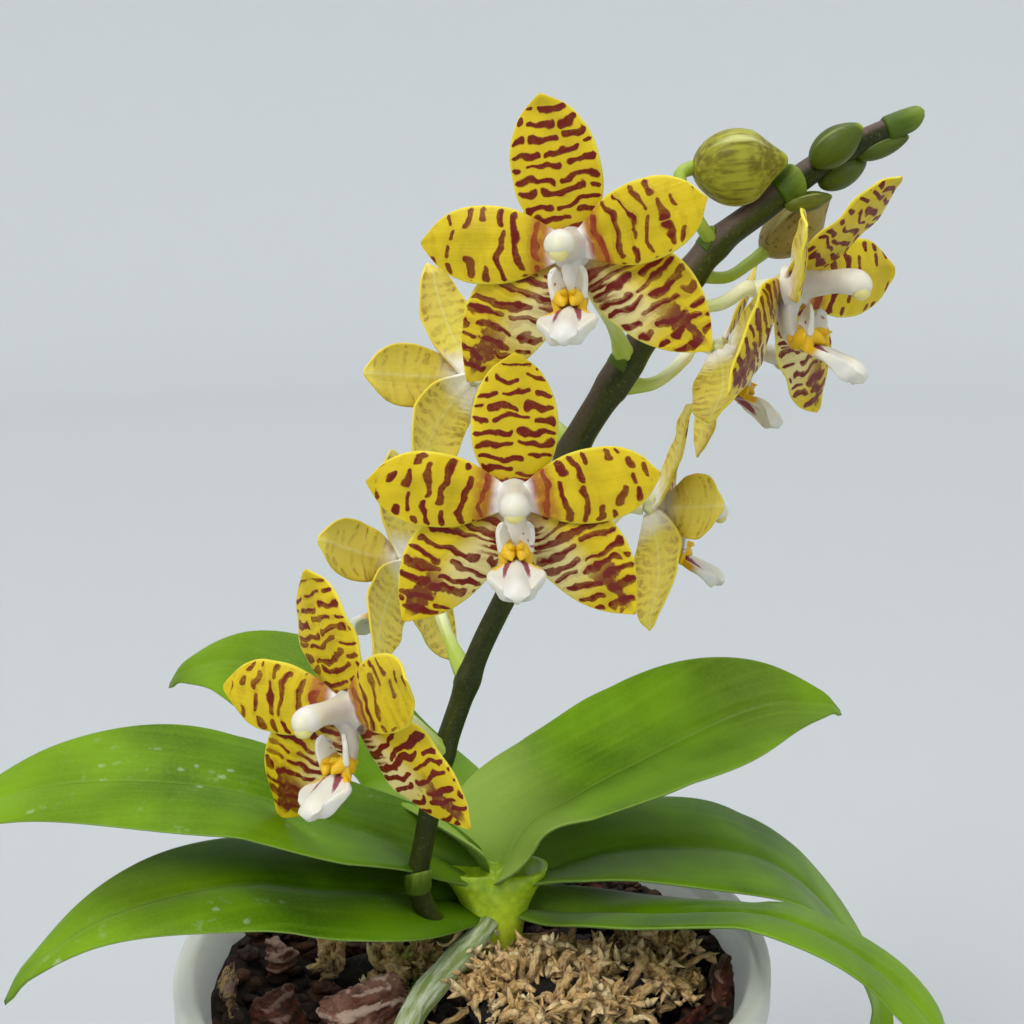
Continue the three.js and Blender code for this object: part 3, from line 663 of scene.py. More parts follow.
@dataclass(frozen=True)
class StemFinish:
    """The flower spike: a dark olive stem with a mauve-grey mottle, strongest higher up and on faces turned
    up and to the left as a painted highlight, green bracts and dry sheaths.
    """

    olive: str = "222a06"
    green: str = "363f08"
    # mauve: a real mottle, and also a painted highlight on faces turned up and to the left.
    mauve: str = "5f4c46"
    bract: str = "465c10"
    bract_tip: str = "7d9430"
    dry: str = "a99a68"

    def material(self) -> Material:
        """Make the material."""
        shop = Shader("spike")
        place = shop.mark("place")
        _, t, _ = shop.mark("blade").parts()
        part, tipward, _ = shop.mark("trait").parts()
        wide = shop.cloud(shop.stretch(place, (0.25, 0.06, 0.25)), detail=3.0)
        speck = shop.cloud(place, 1.7, 4.0, 0.65)
        east, _, sky = shop.node("ShaderNodeNewGeometry", output=1).parts()
        # Painted highlight mixed with mottle: faces turned up and to the left, more so higher up the stem,
        # take on the mauve-grey.
        lit = (sky * 0.8 - east * 0.5 + wide * 0.9).rise(0.45, 1.10)
        colour = shop.layers(
            self.olive,
            (wide.rise(0.35, 0.65), self.green),
            (lit * (t.rise(0.35, 0.80) * 0.75 + 0.08), self.mauve),
            (speck.rise(0.56, 0.70) * 0.18, self.dry))
        lines = shop.cloud(shop.stretch(place, (1.6, 0.1, 0.3)), detail=2.0)
        share = (tipward + (lines - 0.5) * 0.8).rise(0.3, 1.1)
        green = shop.tint(share * 0.75, self.bract, self.bract_tip)
        colour = shop.layers(
            colour,
            (part.rise(0.4, 0.6), green),
            (part.rise(1.4, 1.6), self.dry))
        return shop.surface(colour, speck * 0.25 + 0.36, shop.bump(speck + wide, 0.14, 0.6),
                            living(0.05, 0.8, 0.0, 0.3))


@dataclass(frozen=True)
class StalkFinish:
    """A flower stalk, green where it leaves the spike and creamy white at the flower."""

    green: str = "a9bd4e"
    cream: str = "eeedca"

    def material(self) -> Material:
        """Make the material."""
        shop = Shader("pedicel")
        place = shop.mark("place")
        _, t, _ = shop.mark("blade").parts()
        streak = shop.cloud(shop.stretch(place, (1.0, 0.08, 1.0)), detail=2.0)
        share = (t + (streak - 0.5) * 0.5).rise(0.12, 0.72)
        colour = shop.tint(share, self.green, self.cream)
        return shop.surface(colour, streak * 0.15 + 0.34, shop.bump(streak, 0.2, 0.6), living(0.2, 1.3))


@dataclass(frozen=True)
class BudFinish:
    """A closed bud, yellow-green to olive, with brown mottling and pale seams."""

    green: str = "a09f30"
    olive: str = "716a16"
    fresh: str = "43550a"
    tan: str = "a08a52"
    tip: str = "bcc83a"
    mottle: str = "62481a"
    seam: str = "d2d490"
    stem: str = "9cb244"

    def material(self) -> Material:
        """Make the material."""
        shop = Shader("bud")
        place = shop.mark("place")
        _, t, _ = shop.mark("blade").parts()
        ripe, seam, stalk = shop.mark("trait").parts()
        streak = shop.cloud(shop.stretch(place, (1.1, 0.14, 1.1)), detail=3.0)
        wide = shop.cloud(place, 0.16, 2.0)
        fine = shop.cloud(place, 1.2, 3.0)
        colour = shop.layers(
            self.green,
            ((streak * 0.6 + wide * 0.5).rise(0.42, 0.68), self.olive),
            (ripe.rise(0.9, 0.3) * 0.95, self.fresh),
            (ripe.rise(1.1, 1.5) * 0.8, self.tan))
        spots = (streak * 0.55 + fine * 0.55).rise(0.58, 0.72) * ripe
        colour = shop.layers(
            colour,
            (spots.least(1.0) * (ripe.rise(1.0, 1.5) * 0.45 + 0.28), self.mottle),
            (seam.rise(0.35, 0.95) * (ripe.rise(0.0, 1.0) * 0.55 + 0.2), self.seam),
            (t.rise(0.80, 1.0) * 0.8, self.tip),
            (stalk, self.stem))
        return shop.surface(colour, fine * 0.15 + 0.38, shop.bump(streak + fine * 0.3, 0.2, 0.7),
                            living(0.08, 1.0, 0.0, 0.35))


@dataclass(frozen=True)
class RootFinish:
    """A silver-green aerial root with long light and dark streaks."""

    silver: str = "b9c2a0"
    green: str = "7d9148"
    pale: str = "dadfce"

    def material(self) -> Material:
        """Make the material."""
        shop = Shader("root")
        place = shop.mark("place")
        streak = shop.cloud(shop.stretch(place, (0.9, 0.13, 0.9)), detail=4.0, rough=0.6)
        fine = shop.cloud(place, 2.4, 3.0)
        colour = shop.layers(
            self.green,
            (streak.rise(0.38, 0.62), self.silver),
            ((streak * 0.7 + fine * 0.3).rise(0.56, 0.68), self.pale))
        return shop.surface(colour, streak * 0.3 + 0.42, shop.bump(streak * 1.2 + fine * 0.5, 0.35, 0.9),
                            living(0.08, 0.8))


@dataclass(frozen=True)
class MossFinish:
    """Dried sphagnum, straw to tan, with painted shade at the strands' bases and on the near-black core
    between them, and a little live green.
    """

    straw: str = "d0a463"
    tan: str = "96602c"
    pale: str = "ebd8a6"
    olive: str = "a0803e"
    live: str = "6f9a1e"
    # root: dark brown used as painted shade at the strands' bases.
    root: str = "5c3212"
    shade: str = "15100a"

    def material(self) -> Material:
        """Make the material."""
        shop = Shader("moss")
        place = shop.mark("place")
        _, t, _ = shop.mark("blade").parts()
        tone, live, core = shop.mark("trait").parts()
        fine = shop.cloud(place, 1.6, 3.0)
        scales = shop.cells(shop.stretch(place, (1.5, 0.9, 1.5)), 1.0)
        stops = list(zip((0.0, 0.3, 0.6, 1.0), (self.tan, self.olive, self.straw, self.pale)))
        colour = shop.node("ShaderNodeValToRGB", {"stops": stops}, {0: tone})
        colour = shop.layers(
            colour,
            (fine.rise(0.35, 0.7) * 0.5, self.tan),
            # Painted shade: each strand darkens toward its base so the gaps between strands look shaded.
            (t.rise(0.62, 0.05) * 0.92, self.root),
            (scales.rise(0.15, 0.7) * 0.35, self.pale),
            (live, self.live),
            # Painted shade: the mound's core is near-black, standing in for the shade deep among the strands.
            (core, self.shade))
        return shop.surface(colour, fine * 0.2 + 0.7, shop.bump(scales + fine * 0.6, 0.3, 1.0),
                            living(0.08, 0.8))


@dataclass(frozen=True)
class BarkFinish:
    """Pine bark: reddish-brown plates with pale worn edges and dark splits along the grain."""

    red: str = "6a3420"
    dark: str = "220f08"
    rose: str = "a07460"
    edge: str = "d2b4a0"
    char: str = "16120f"
    tan: str = "a98a5c"

    def material(self) -> Material:
        """Make the material."""
        shop = Shader("bark")
        place = shop.mark("place")
        tone, wear, kind = shop.mark("trait").parts()
        grain = shop.cloud(shop.stretch(place, (0.16, 0.9, 0.9)), detail=4.0, rough=0.6)
        wide = shop.cloud(place, 0.18, 3.0)
        fine = shop.cloud(place, 1.8, 4.0, 0.65)
        flakes = shop.cells(place, 0.30, output=1)
        shade = shop.node("ShaderNodeSeparateColor", sockets={0: flakes})
        colour = shop.layers(
            self.dark,
            (grain.rise(0.3, 0.66), self.red),
            (tone * (shade * 0.4 + wide.rise(0.35, 0.6) * 0.6), self.rose))
        worn = (wear * 0.9 + fine * 0.4).rise(0.60, 0.90) * (tone * 0.65 + 0.2)
        colour = shop.layers(
            colour,
            (worn, self.edge),
            (fine.rise(0.62, 0.72) * 0.3, self.edge),
            (kind.rise(0.4, 0.6) * wide.rise(0.42, 0.56), self.tan),
            (kind.rise(0.4, 0.6) * grain.rise(0.50, 0.62) * 0.9, self.char))
        return shop.surface(colour, fine * 0.25 + 0.58, shop.bump(grain * 1.4 + fine * 0.8, 0.45, 1.0),
                            {"IOR": 1.4})


@dataclass(frozen=True)
class MixFinish:
    """The damp potting mix: near-black crumb with brown bits of bark."""

    dark: str = "140f0b"
    brown: str = "2c190f"
    bit: str = "5a3826"

    def material(self) -> Material:
        """Make the material."""
        shop = Shader("potting_mix")
        place = shop.mark("place")
        tone, _, _ = shop.mark("trait").parts()
        fine = shop.cloud(place, 0.9, 4.0, 0.65)
        bits = shop.cells(place, 0.11, output=1)
        shade = shop.node("ShaderNodeSeparateColor", sockets={0: bits})
        edge = shop.cells(place, 0.11, feature="DISTANCE_TO_EDGE")
        colour = shop.layers(
            self.dark,
            (fine.rise(0.4, 0.7), self.brown),
            ((shade.rise(0.35, 0.9) * edge.rise(0.02, 0.12) * 0.8).most(tone), self.bit))
        return shop.surface(colour, fine * 0.3 + 0.6, shop.bump(edge.rise(0.0, 0.15) * 2 + fine, 0.5, 0.9),
                            {"IOR": 1.4})


@dataclass(frozen=True)
class PotFinish:
    """Clouded translucent plastic, moulded, with a milky rim."""

    milk: str = "eff0e4"
    grey: str = "d6d8cb"

    def material(self) -> Material:
        """Make the material."""
        shop = Shader("clear_pot")
        place = shop.mark("place")
        rim, _, _ = shop.mark("trait").parts()
        wide = shop.cloud(place, 0.05, 3.0)
        fine = shop.cloud(place, 0.8, 3.0)
        scuff = shop.cloud(shop.stretch(place, (0.25, 0.25, 2.2)), detail=3.0).rise(0.62, 0.74)
        colour = shop.tint(wide.rise(0.3, 0.7), self.grey, self.milk)
        others = {"Alpha": rim * 0.30 + scuff * 0.04 + 0.60, "Subsurface Weight": 0.35,
                  "Subsurface Radius": (1.0, 1.0, 1.0), "Subsurface Scale": 3 * MM, "IOR": 1.5}
        return shop.surface(colour, fine * 0.16 + scuff * 0.15 + 0.20, shop.bump(fine, 0.05, 0.4), others)


@dataclass(frozen=True)
class StageFinish:
    """The plain pale ground and backdrop."""

    near: str = "bbbfc1"
    far: str = "caced0"

    def material(self) -> Material:
        """Make the material."""
        shop = Shader("stage")
        place = shop.node("ShaderNodeTexCoord", output=3)
        x, y, _ = place.parts()
        colour = shop.tint((x * x + y * y).root().rise(0.4, 2.2), self.near, self.far)
        grain = shop.cloud(place, 90.0, 2.0)
        return shop.surface(colour, grain * 0.1 + 0.85, None, {"Specular IOR Level": 0.2})


def pot_radius(height: Any) -> Any:
    """The pot's outside radius at a height."""
    slope = (RIM_RADIUS - RIM_WIDTH - FOOT_RADIUS) / (POT_HEIGHT - 4)
    return FOOT_RADIUS + slope * height


def volume(points: Array, faces: Sequence[Array]) -> float:
    """The signed volume that faces enclose, positive where they point out."""
    total = 0.0
    for group in faces:
        for k in range(1, group.shape[1] - 1):
            a, b, c = points[group[:, 0]], points[group[:, k]], points[group[:, k + 1]]
            total += float(np.sum(a * np.cross(b, c)))
    return total / 6


def quads(index: Array) -> Array:
    """The four-sided faces between the rows of a grid of point numbers."""
    corners = [index[:-1, :-1], index[1:, :-1], index[1:, 1:], index[:-1, 1:]]
    return np.stack(corners, -1).reshape(-1, 4)


class Draft:
    """One piece in the making: its points in millimetres, faces and the marks that its finish reads."""

    MARKS = ("place", "blade", "trait")

    def __init__(self) -> None:
        """Start an empty piece."""
        self.points: list[Array] = []
        self.faces: list[tuple[int, ...]] = []
        self.marks: dict[str, list[Array]] = {name: [] for name in self.MARKS}
        self.count = 0

    def add(self, points: Array, faces: Sequence[Array], place: Any, blade: Any,
            trait: Any = (0, 0, 0)) -> None:
        """Add one closed body, with its faces turned out.

        Args:
            points: Its points.
            faces: Groups of faces with the same number of corners.
            place: Where each point lies on the surface, in millimetres.
            blade: Where it lies as shares of the form.
            trait: What the finish has to know besides.
        """
        points = np.asarray(points, float).reshape(-1, 3)
        turned = [group[:, ::-1] for group in faces] if volume(points, faces) < 0 else faces
        for group in turned:
            self.faces.extend(map(tuple, (group + self.count).tolist()))
        for name, value in zip(self.MARKS, (place, blade, trait)):
            self.marks[name].append(np.broadcast_to(np.asarray(value, float), points.shape))
        self.points.append(points)
        self.count += len(points)

    def sheet(self, middle: Array, thickness: Array, place: Array, blade: Array, front: Any,
              trait: Any = (0, 0, 0)) -> None:
        """Add a thin body round a grid of points, closed along its rim, where it has no thickness.

        Args:
            middle: The grid, rows by columns.
            thickness: How thick it is at each point.
            place: The place mark on the grid.
            blade: The first two numbers of the blade mark on the grid.
            front: Which way its front faces.
            trait: The trait mark.
        """
        rows, columns = middle.shape[:2]
        normal = unit(np.cross(np.gradient(middle, axis=0), np.gradient(middle, axis=1)))
        if np.sum(normal * front) < 0:
            normal = -normal
        inside = np.zeros((rows, columns), bool)
        inside[1:-1, 1:-1] = True
        half = normal * (thickness * inside)[..., None] / 2
        upper = np.arange(rows * columns).reshape(rows, columns)
        lower = upper.copy()
        lower[inside] = rows * columns + np.arange(inside.sum())
        points = np.concatenate([(middle + half).reshape(-1, 3), (middle - half)[inside]])
        places = np.concatenate([place.reshape(-1, 3), place[inside]])
        sides = np.concatenate([np.where(inside, 1.0, 0.0).ravel(), np.full(inside.sum(), -1.0)])
        blades = np.concatenate([blade.reshape(-1, 2), blade[inside]])
        blades = np.concatenate([blades, sides[:, None]], -1)
        if np.ndim(trait) == 3:
            trait = np.concatenate([trait.reshape(-1, 3), trait[inside]])
        self.add(points, [quads(upper), quads(lower)[:, ::-1]], places, blades, trait)

    def shell(self, rings: Array, place: Any = None, blade: Any = (0, 0, 0), trait: Any = (0, 0, 0)) -> None:
        """Add a body from closed rings of points, with a fan over its first ring and over its last.

        Args:
            rings: The rings, each with the same number of points.
            place: The place mark, which is the point itself if left out.
            blade: The blade mark.
            trait: The trait mark.
        """
        count, sides = rings.shape[:2]
        index = np.arange(count * sides).reshape(count, sides)
        index = np.concatenate([index, index[:, :1]], 1)
        hub = np.full(sides, count * sides)
        first = np.stack([index[0, 1:], index[0, :-1], hub], -1)
        last = np.stack([index[-1, :-1], index[-1, 1:], hub + 1], -1)
        body = np.concatenate([rings.reshape(-1, 3), rings[:1].mean(1), rings[-1:].mean(1)])
        self.add(body, [quads(index)[:, ::-1], first, last], body if place is None else place, blade, trait)

    def tube(self, centres: Array, radii: Any, sides: int = 12, shift: float = 0.0, flat: float = 1.0,
             trait: Any = (0, 0, 0)) -> None:
        """Add a round bar along a line of points.

        Args:
            centres: The line.
            radii: A radius for each point of it, or for each point of each ring.
            sides: Points in a ring.
            shift: Sets the noise of this bar apart from others.
            flat: Squashes the section.
            trait: The trait mark, for all of it, for each ring or for each point of each ring.
        """
        count = len(centres)
        radii = np.broadcast_to(np.asarray(radii, float).reshape(count, -1), (count, sides))
        ways = unit(np.gradient(centres, axis=0))
        level = np.cross((0, 0, 1), ways[0])
        across = level if np.linalg.norm(level) > 1e-3 else np.array((1.0, 0, 0))
        angle = circle(sides)
        wave = stack(np.cos(angle), np.sin(angle))
        rings = np.empty((count, sides, 3))
        for i, way in enumerate(ways):
            across = unit(across - way * np.dot(across, way))
            over = np.cross(way, across)
            offset = wave[:, :1] * across + wave[:, 1:] * over * flat
            rings[i] = centres[i] + offset * radii[i][:, None]
        share = even(count)
        run = np.concatenate([[0], np.cumsum(np.linalg.norm(np.diff(centres, axis=0), axis=1))])
        place = stack(radii * wave[:, 0], run[:, None], radii * wave[:, 1] + shift)
        blade = stack(wave[:, 0], share[:, None], wave[:, 1])
        ends = [(0, 0, shift), (0, run[-1], shift)]
        trait = np.asarray(trait, float)
        if trait.ndim == 2:
            trait = np.repeat(trait[:, None], sides, 1)
        if trait.ndim == 3:
            trait = np.concatenate([trait.reshape(-1, 3), trait[0, :1], trait[-1, :1]])
        self.shell(rings, np.concatenate([place.reshape(-1, 3), ends]),
                   np.concatenate([blade.reshape(-1, 3), [(0, 0, 0), (0, 1, 0)]]), trait)

    def make(self, name: str, material: Material, slot: Slot, *nodes: str) -> Object:
        """Turn the draft into a piece that rides on the plant.

        Args:
            name: The piece's name.
            material: Its finish.
            slot: The record's slot for it, which is not used.
            nodes: The frame's nodes that it stands for.

        Returns:
            The piece.
        """
        mesh = bpy.data.meshes.new(name)
        mesh.from_pydata(np.concatenate(self.points) * MM, [], self.faces)
        mesh.shade_smooth()
        for mark, values in self.marks.items():
            held = mesh.attributes.new(mark, "FLOAT_VECTOR", "POINT")
            held.data.foreach_set("vector", np.concatenate(values).astype(np.float32).ravel())
        mesh.materials.append(material)
        piece = put(name, mesh)
        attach(piece, "root")
        if nodes:
            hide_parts(*nodes)
        log.info("%s: %d faces", name, len(self.faces))
        return piece


@dataclass(frozen=True)
class Leaf:
    """One leaf, from the crown to its tip.

    Attributes:
        spine: Points along its midrib.
        half: Half its widest width.
        peak: The share of its length where it is widest.
        full: How full its outline is.
        tilt: The blade's tilt at its base, middle and tip, in degrees.
        rise: How far its edges rise, for its width.
        pale: How pale its base is; where it is low, painted shade darkens the base instead.
        spotted: Whether water has dried on it.
        hook: How far the point at its tip hangs down.
        wave: How far its edges wave.
        base: Half its width at its base.
    """

    name: str
    spine: Knots
    half: float
    peak: float
    full: float
    tilt: Sequence[float]
    rise: float
    pale: float = 0.4
    spotted: float = 0.0
    hook: float = 0.0
    wave: float = 0.5
    base: float = 7.4

    THICKNESS = 1.8
    TIP_HALF = 0.7
    ARCH = 0.16
    GROOVE_DEPTH = 0.75
    GROOVE_HALF = 1.1
    CLASP = 0.75
    ROWS = 76
    COLUMNS = 35

    def grid(self) -> tuple[Array, Array, Array]:
        """Shape the blade's middle surface.

        Returns:
            The grid of points, its half widths along the leaf, and the way its face looks.
        """
        run = Run(self.spine)
        t = even(self.ROWS)
        t = t + 0.05 * np.sin(2 * math.pi * t) / (2 * math.pi)
        way = run.ways(t)
        level = unit(stack(-way[:, 1], way[:, 0], 0))
        level = level * np.where(level[:, 1:2] < 0, -1, 1)
        lift = unit(np.cross(level, way))
        lift = lift * np.where(lift[:, 2:] < 0, -1, 1)
        angle = np.radians(along(self.tilt, t))[:, None]
        across = level * np.cos(angle) + lift * np.sin(angle)
        up = lift * np.cos(angle) - level * np.sin(angle)
        skew = math.log(0.5) / math.log(self.peak)
        bow = np.sin(math.pi * np.clip(t, 0, 1) ** skew).clip(0) ** self.full
        width = self.half * bow + self.base * (1 - t) ** 5 + self.TIP_HALF * t
        s = spread(self.COLUMNS)[None, :]
        half = width[:, None]
        reach = np.abs(s)
        sway = np.sin(t[:, None] * 9.0 + 1.7 * s) + 0.5 * np.sin(t[:, None] * 17.0 - 2.1 * s + self.half)
        height = self.rise * half * s * s
        height = height + self.ARCH * half * (reach - reach ** 2)
        groove = np.exp(-(s * half / self.GROOVE_HALF) ** 2)
        height = height - self.GROOVE_DEPTH * groove * ease(1 - t, 0.02, 0.3)[:, None]
        height = height + self.wave * sway * reach ** 3 * np.sin(math.pi * t)[:, None]
        height = height + half * reach * (self.CLASP * (1 - t) ** 7)[:, None]
        middle = run.at(t)[:, None] + across[:, None] * (s * half)[..., None]
        middle = middle + up[:, None] * height[..., None]
        middle[..., 2] -= (self.hook * ease(t, 0.945, 1.0) ** 2)[:, None]
        return middle, width, up

    def build(self, seed: int, material: Material) -> Object:
        """Build the leaf.

        Args:
            seed: Sets its veins apart from other leaves.
            material: The leaf's finish.

        Returns:
            The piece.
        """
        middle, width, up = self.grid()
        share = even(self.ROWS)
        s = spread(self.COLUMNS)
        edge = rounded(1 - np.abs(s), 0.07)[None, :]
        tip = rounded(1 - share, 0.02)[:, None] * rounded(share, 0.01)[:, None]
        thickness = self.THICKNESS * (1 - 0.45 * s ** 2)[None, :] * (1 - 0.4 * share)[:, None] * edge * tip
        length = Run(self.spine).length
        place = stack(width[:, None] * s, (share * length)[:, None], seed * 31.0)
        blade = stack(s[None], share[:, None])
        draft = Draft()
        draft.sheet(middle, thickness, place, blade, up[:, None], (self.pale, self.spotted, 0))
        return draft.make(f"{self.name}_blade", material, Slot.LEAF, self.name)


LEAVES = (
    Leaf("leaf_1", [(4.0, 4.2, 118.0), (-11, 1.5, 127.5), (-28, -8, 139), (-46.5, -13.5, 148.5),
                    (-76.5, -19, 152), (-101, -21, 143.5)],
         18.6, 0.48, 1.1, (25, 7, 20), 0.08, 0.1, 1.0, 1.0, base=3.4),
    Leaf("leaf_2", [(3.5, 7.0, 111.5), (-14, -5.0, 121.5), (-28.5, -15, 128), (-43, -22, 133),
                    (-65, -36, 133.5), (-79.5, -43, 124.5)],
         17, 0.43, 1.07, (30, 7, 4), 0.02, 0.0, 1.0, 2.2, base=2.6),
    Leaf("leaf_3", [(3.8, 4.5, 119.5), (-6.5, 20, 128.5), (-14, 28.5, 133), (-26, 35, 142.5),
                    (-54.5, 48, 152.5), (-73, 56, 146.5)],
         17.5, 0.44, 0.96, (-29, 3, 47), 0.02, 0.9, 0.0, 2.4),
    Leaf("leaf_4", [(5.2, 3.5, 119.0), (11.5, 8, 129), (20.5, 11, 134), (33, 14, 140), (62.5, 22, 150),
                    (80, 27, 148)],
         22, 0.43, 0.98, (-3, 7, 32), 0.24, 1.0, 0.0, 1.8),
    Leaf("leaf_5", [(5.0, 2.5, 117.5), (17.5, 7.5, 120), (30.5, 10, 122.5), (58, 15, 119), (74, 18, 107),
                    (88.5, 21, 82.5), (91.5, 20, 65.5)],
         21.2, 0.44, 1.2, (5, 2, 32), 0.05, 0.3, base=4.6),
    Leaf("leaf_6", [(5.5, 7.5, 111.0), (20, -1.5, 114.5), (34.5, -13, 120.5), (58.5, -21, 123.5),
                    (77, -24, 114), (87.5, -27, 102), (88.5, -27, 89.5)],
         12.6, 0.48, 0.76, (8, -19, 17), 0, 0.3, base=2.6),
)


@dataclass(frozen=True)
class Stalk:
    """Where a flower's stalk leaves the spike, and the points on its way."""

    root: Point
    way: Knots


@dataclass(frozen=True)
class Scale:
    """A sheath or bract on the spike.

    Attributes:
        base: Where it starts.
        tip: Where its point is.
        wrap: Half the angle that its base wraps, in degrees.
        flare: How far its tip stands off.
        part: Which part of the spike it is.
    """

    base: Point
    tip: Point
    wrap: float = 168.0
    flare: float = 0.15
    part: StemPart = StemPart.BRACT


@dataclass
class Spike:
    """The flower spike with the bracts at its nodes.

    Attributes:
        line: Points from the crown to the growing tip.
        radii: Its radius at even steps.
        scales: The sheaths and bracts on it.
    """

    line: Knots = (
        (0.5, 2, 112.5), (-4.3, -4.2, 113), (-6.4, -8.6, 116), (-8.6, -11, 121), (-10, -12, 127.5),
        (-8.5, -12.5, 137), (-6, -12, 149), (-2.5, -10.5, 160), (2, -9, 172), (6, -8, 180.5), (12.5, -7, 193),
        (21.5, -6, 213), (30.5, -5, 227), (40, -4, 240), (46.5, -4, 248), (54.5, -3, 254), (65, -2, 261.5),
        (75.5, -2, 267), (83, -2, 270))
    radii: Sequence[float] = (
        2.3, 2.4, 2.1, 2.0, 2.1, 2.1, 2.1, 2.1, 2.3, 2.5, 2.7, 2.85, 2.85, 2.6, 2.5, 2.45, 2.2, 1.4)
    scales: Sequence[Scale] = (
        Scale((-9.6, -12, 126), (-9.2, -12.9, 131.5), 168, 0.05),
        Scale((-3.0, -2.6, 112.9), (-5.6, -7.2, 114.6), 168, 0.1, StemPart.DRY_SHEATH),
        Scale((-6.2, -12, 149), (-8.5, -13.5, 155.5), 80, 2.4),
        Scale((57.6, -3.2, 256.2), (60.6, -7.0, 261.4), 150, 1.1),
        Scale((76.6, -2.6, 267.4), (82.8, -3.6, 270.6), 168, 0.1))

    SCALE_THICKNESS = 0.6
    BRACT_HALF_LENGTH = 1.9
    BRACT_WRAP = 46
    BRACT_FLARE = 0.5
    NODE_SWELL = 0.42
    NODE_HALF_LENGTH = 2.6
    SIDES = 22

    def __post_init__(self) -> None:
        """Trace the spike's run."""
        self.run = Run(self.line)

    def start(self, stalk: Stalk) -> Array:
        """The point in the middle of the spike that a stalk springs from."""
        return self.run.at(self.run.nearest(stalk.root))

    def wrap(self, draft: Draft, at: float, out: Array, low: float, high: float, spread_deg: float,
             flare: float, part: StemPart, seed: float) -> None:
        """Add one scale that clasps the spike.

        Args:
            draft: The spike in the making.
            at: The share of the spike's length at its middle.
            out: The way that its back faces.
            low: How far below the middle it starts.
            high: How far above the middle its tip is.
            spread_deg: Half the angle that its base wraps.
            flare: How far its tip stands off.
            part: Which part it is.
            seed: Sets its noise apart.
        """
        b = even(18)
        a = spread(17)
        share = at + (low + (high - low) * b) / self.run.length
        ahead = self.run.ways(share)
        out = unit(out - ahead * np.sum(out * ahead, -1, keepdims=True))
        aside = np.cross(ahead, out)
        radius = along(self.radii, share) + 0.16 + 0.12 * np.sin(math.pi * b) + flare * b ** 1.8
        narrow = np.radians(spread_deg) * (1 - b ** 1.7) ** 0.75 + 0.02
        angle = narrow[:, None] * a
        ring = out[:, None] * np.cos(angle)[..., None] + aside[:, None] * np.sin(angle)[..., None]
        middle = self.run.at(share)[:, None] + ring * radius[:, None, None]
        edge = rounded(1 - np.abs(a), 0.1)[None] * rounded(1 - b, 0.1)[:, None] * rounded(b, 0.1)[:, None]
        place = stack(angle * radius[:, None], (b * (high - low))[:, None], seed)
        trait = stack(part.value, b[:, None], 0 * angle)
        draft.sheet(middle, self.SCALE_THICKNESS * edge, place, stack(a[None], b[:, None]),
                    ring.mean(1)[:, None], trait)

    def build(self, stalks: Sequence[Stalk], material: Material) -> Object:
        """Build the spike.

        Args:
            stalks: The stalks that leave it, each from a bract.
            material: The spike's finish.

        Returns:
            The piece.
        """
        share = even(340)
        radius = along(self.radii, share)
        knots = [self.run.nearest(stalk.root) for stalk in stalks]
        for knot in knots:
            beside = (share - knot) * self.run.length / self.NODE_HALF_LENGTH
            radius = radius + self.NODE_SWELL * np.exp(-beside ** 2)
        radius = radius * np.sqrt(np.clip((1.002 - share) / 0.01, 0.02, 1))
        draft = Draft()
        lumps = 1 + 0.025 * np.sin(3 * circle(self.SIDES)[None] + share[:, None] * 60)
        draft.tube(self.run.at(share), radius[:, None] * lumps, self.SIDES)
        for number, (knot, stalk) in enumerate(zip(knots, stalks)):
            out = np.asarray(stalk.way[0], float) - np.asarray(stalk.root, float)
            self.wrap(draft, knot, out, -self.BRACT_HALF_LENGTH, self.BRACT_HALF_LENGTH, self.BRACT_WRAP,
                      self.BRACT_FLARE, StemPart.BRACT, number * 11.0)
        for number, scale in enumerate(self.scales):
            tip = np.asarray(scale.tip, float)
            low, high = self.run.nearest(scale.base), self.run.nearest(tip)
            reach = (high - low) * self.run.length / 2
            self.wrap(draft, (low + high) / 2, tip - self.run.at(high), -reach, reach, scale.wrap,
                      scale.flare, scale.part, 300 + number * 7.0)
        return draft.make("spike_stem", material, Slot.SPIKE, "flower_spike")


@dataclass(frozen=True)
class Pose:
    """How one tepal of one bloom differs from the usual: angles in degrees, the curl as a share of length."""

    shift: float = 0.0
    lean: float = 9.0
    twist: float = 0.0
    curl: float = -0.02
    wide: float = 1.0


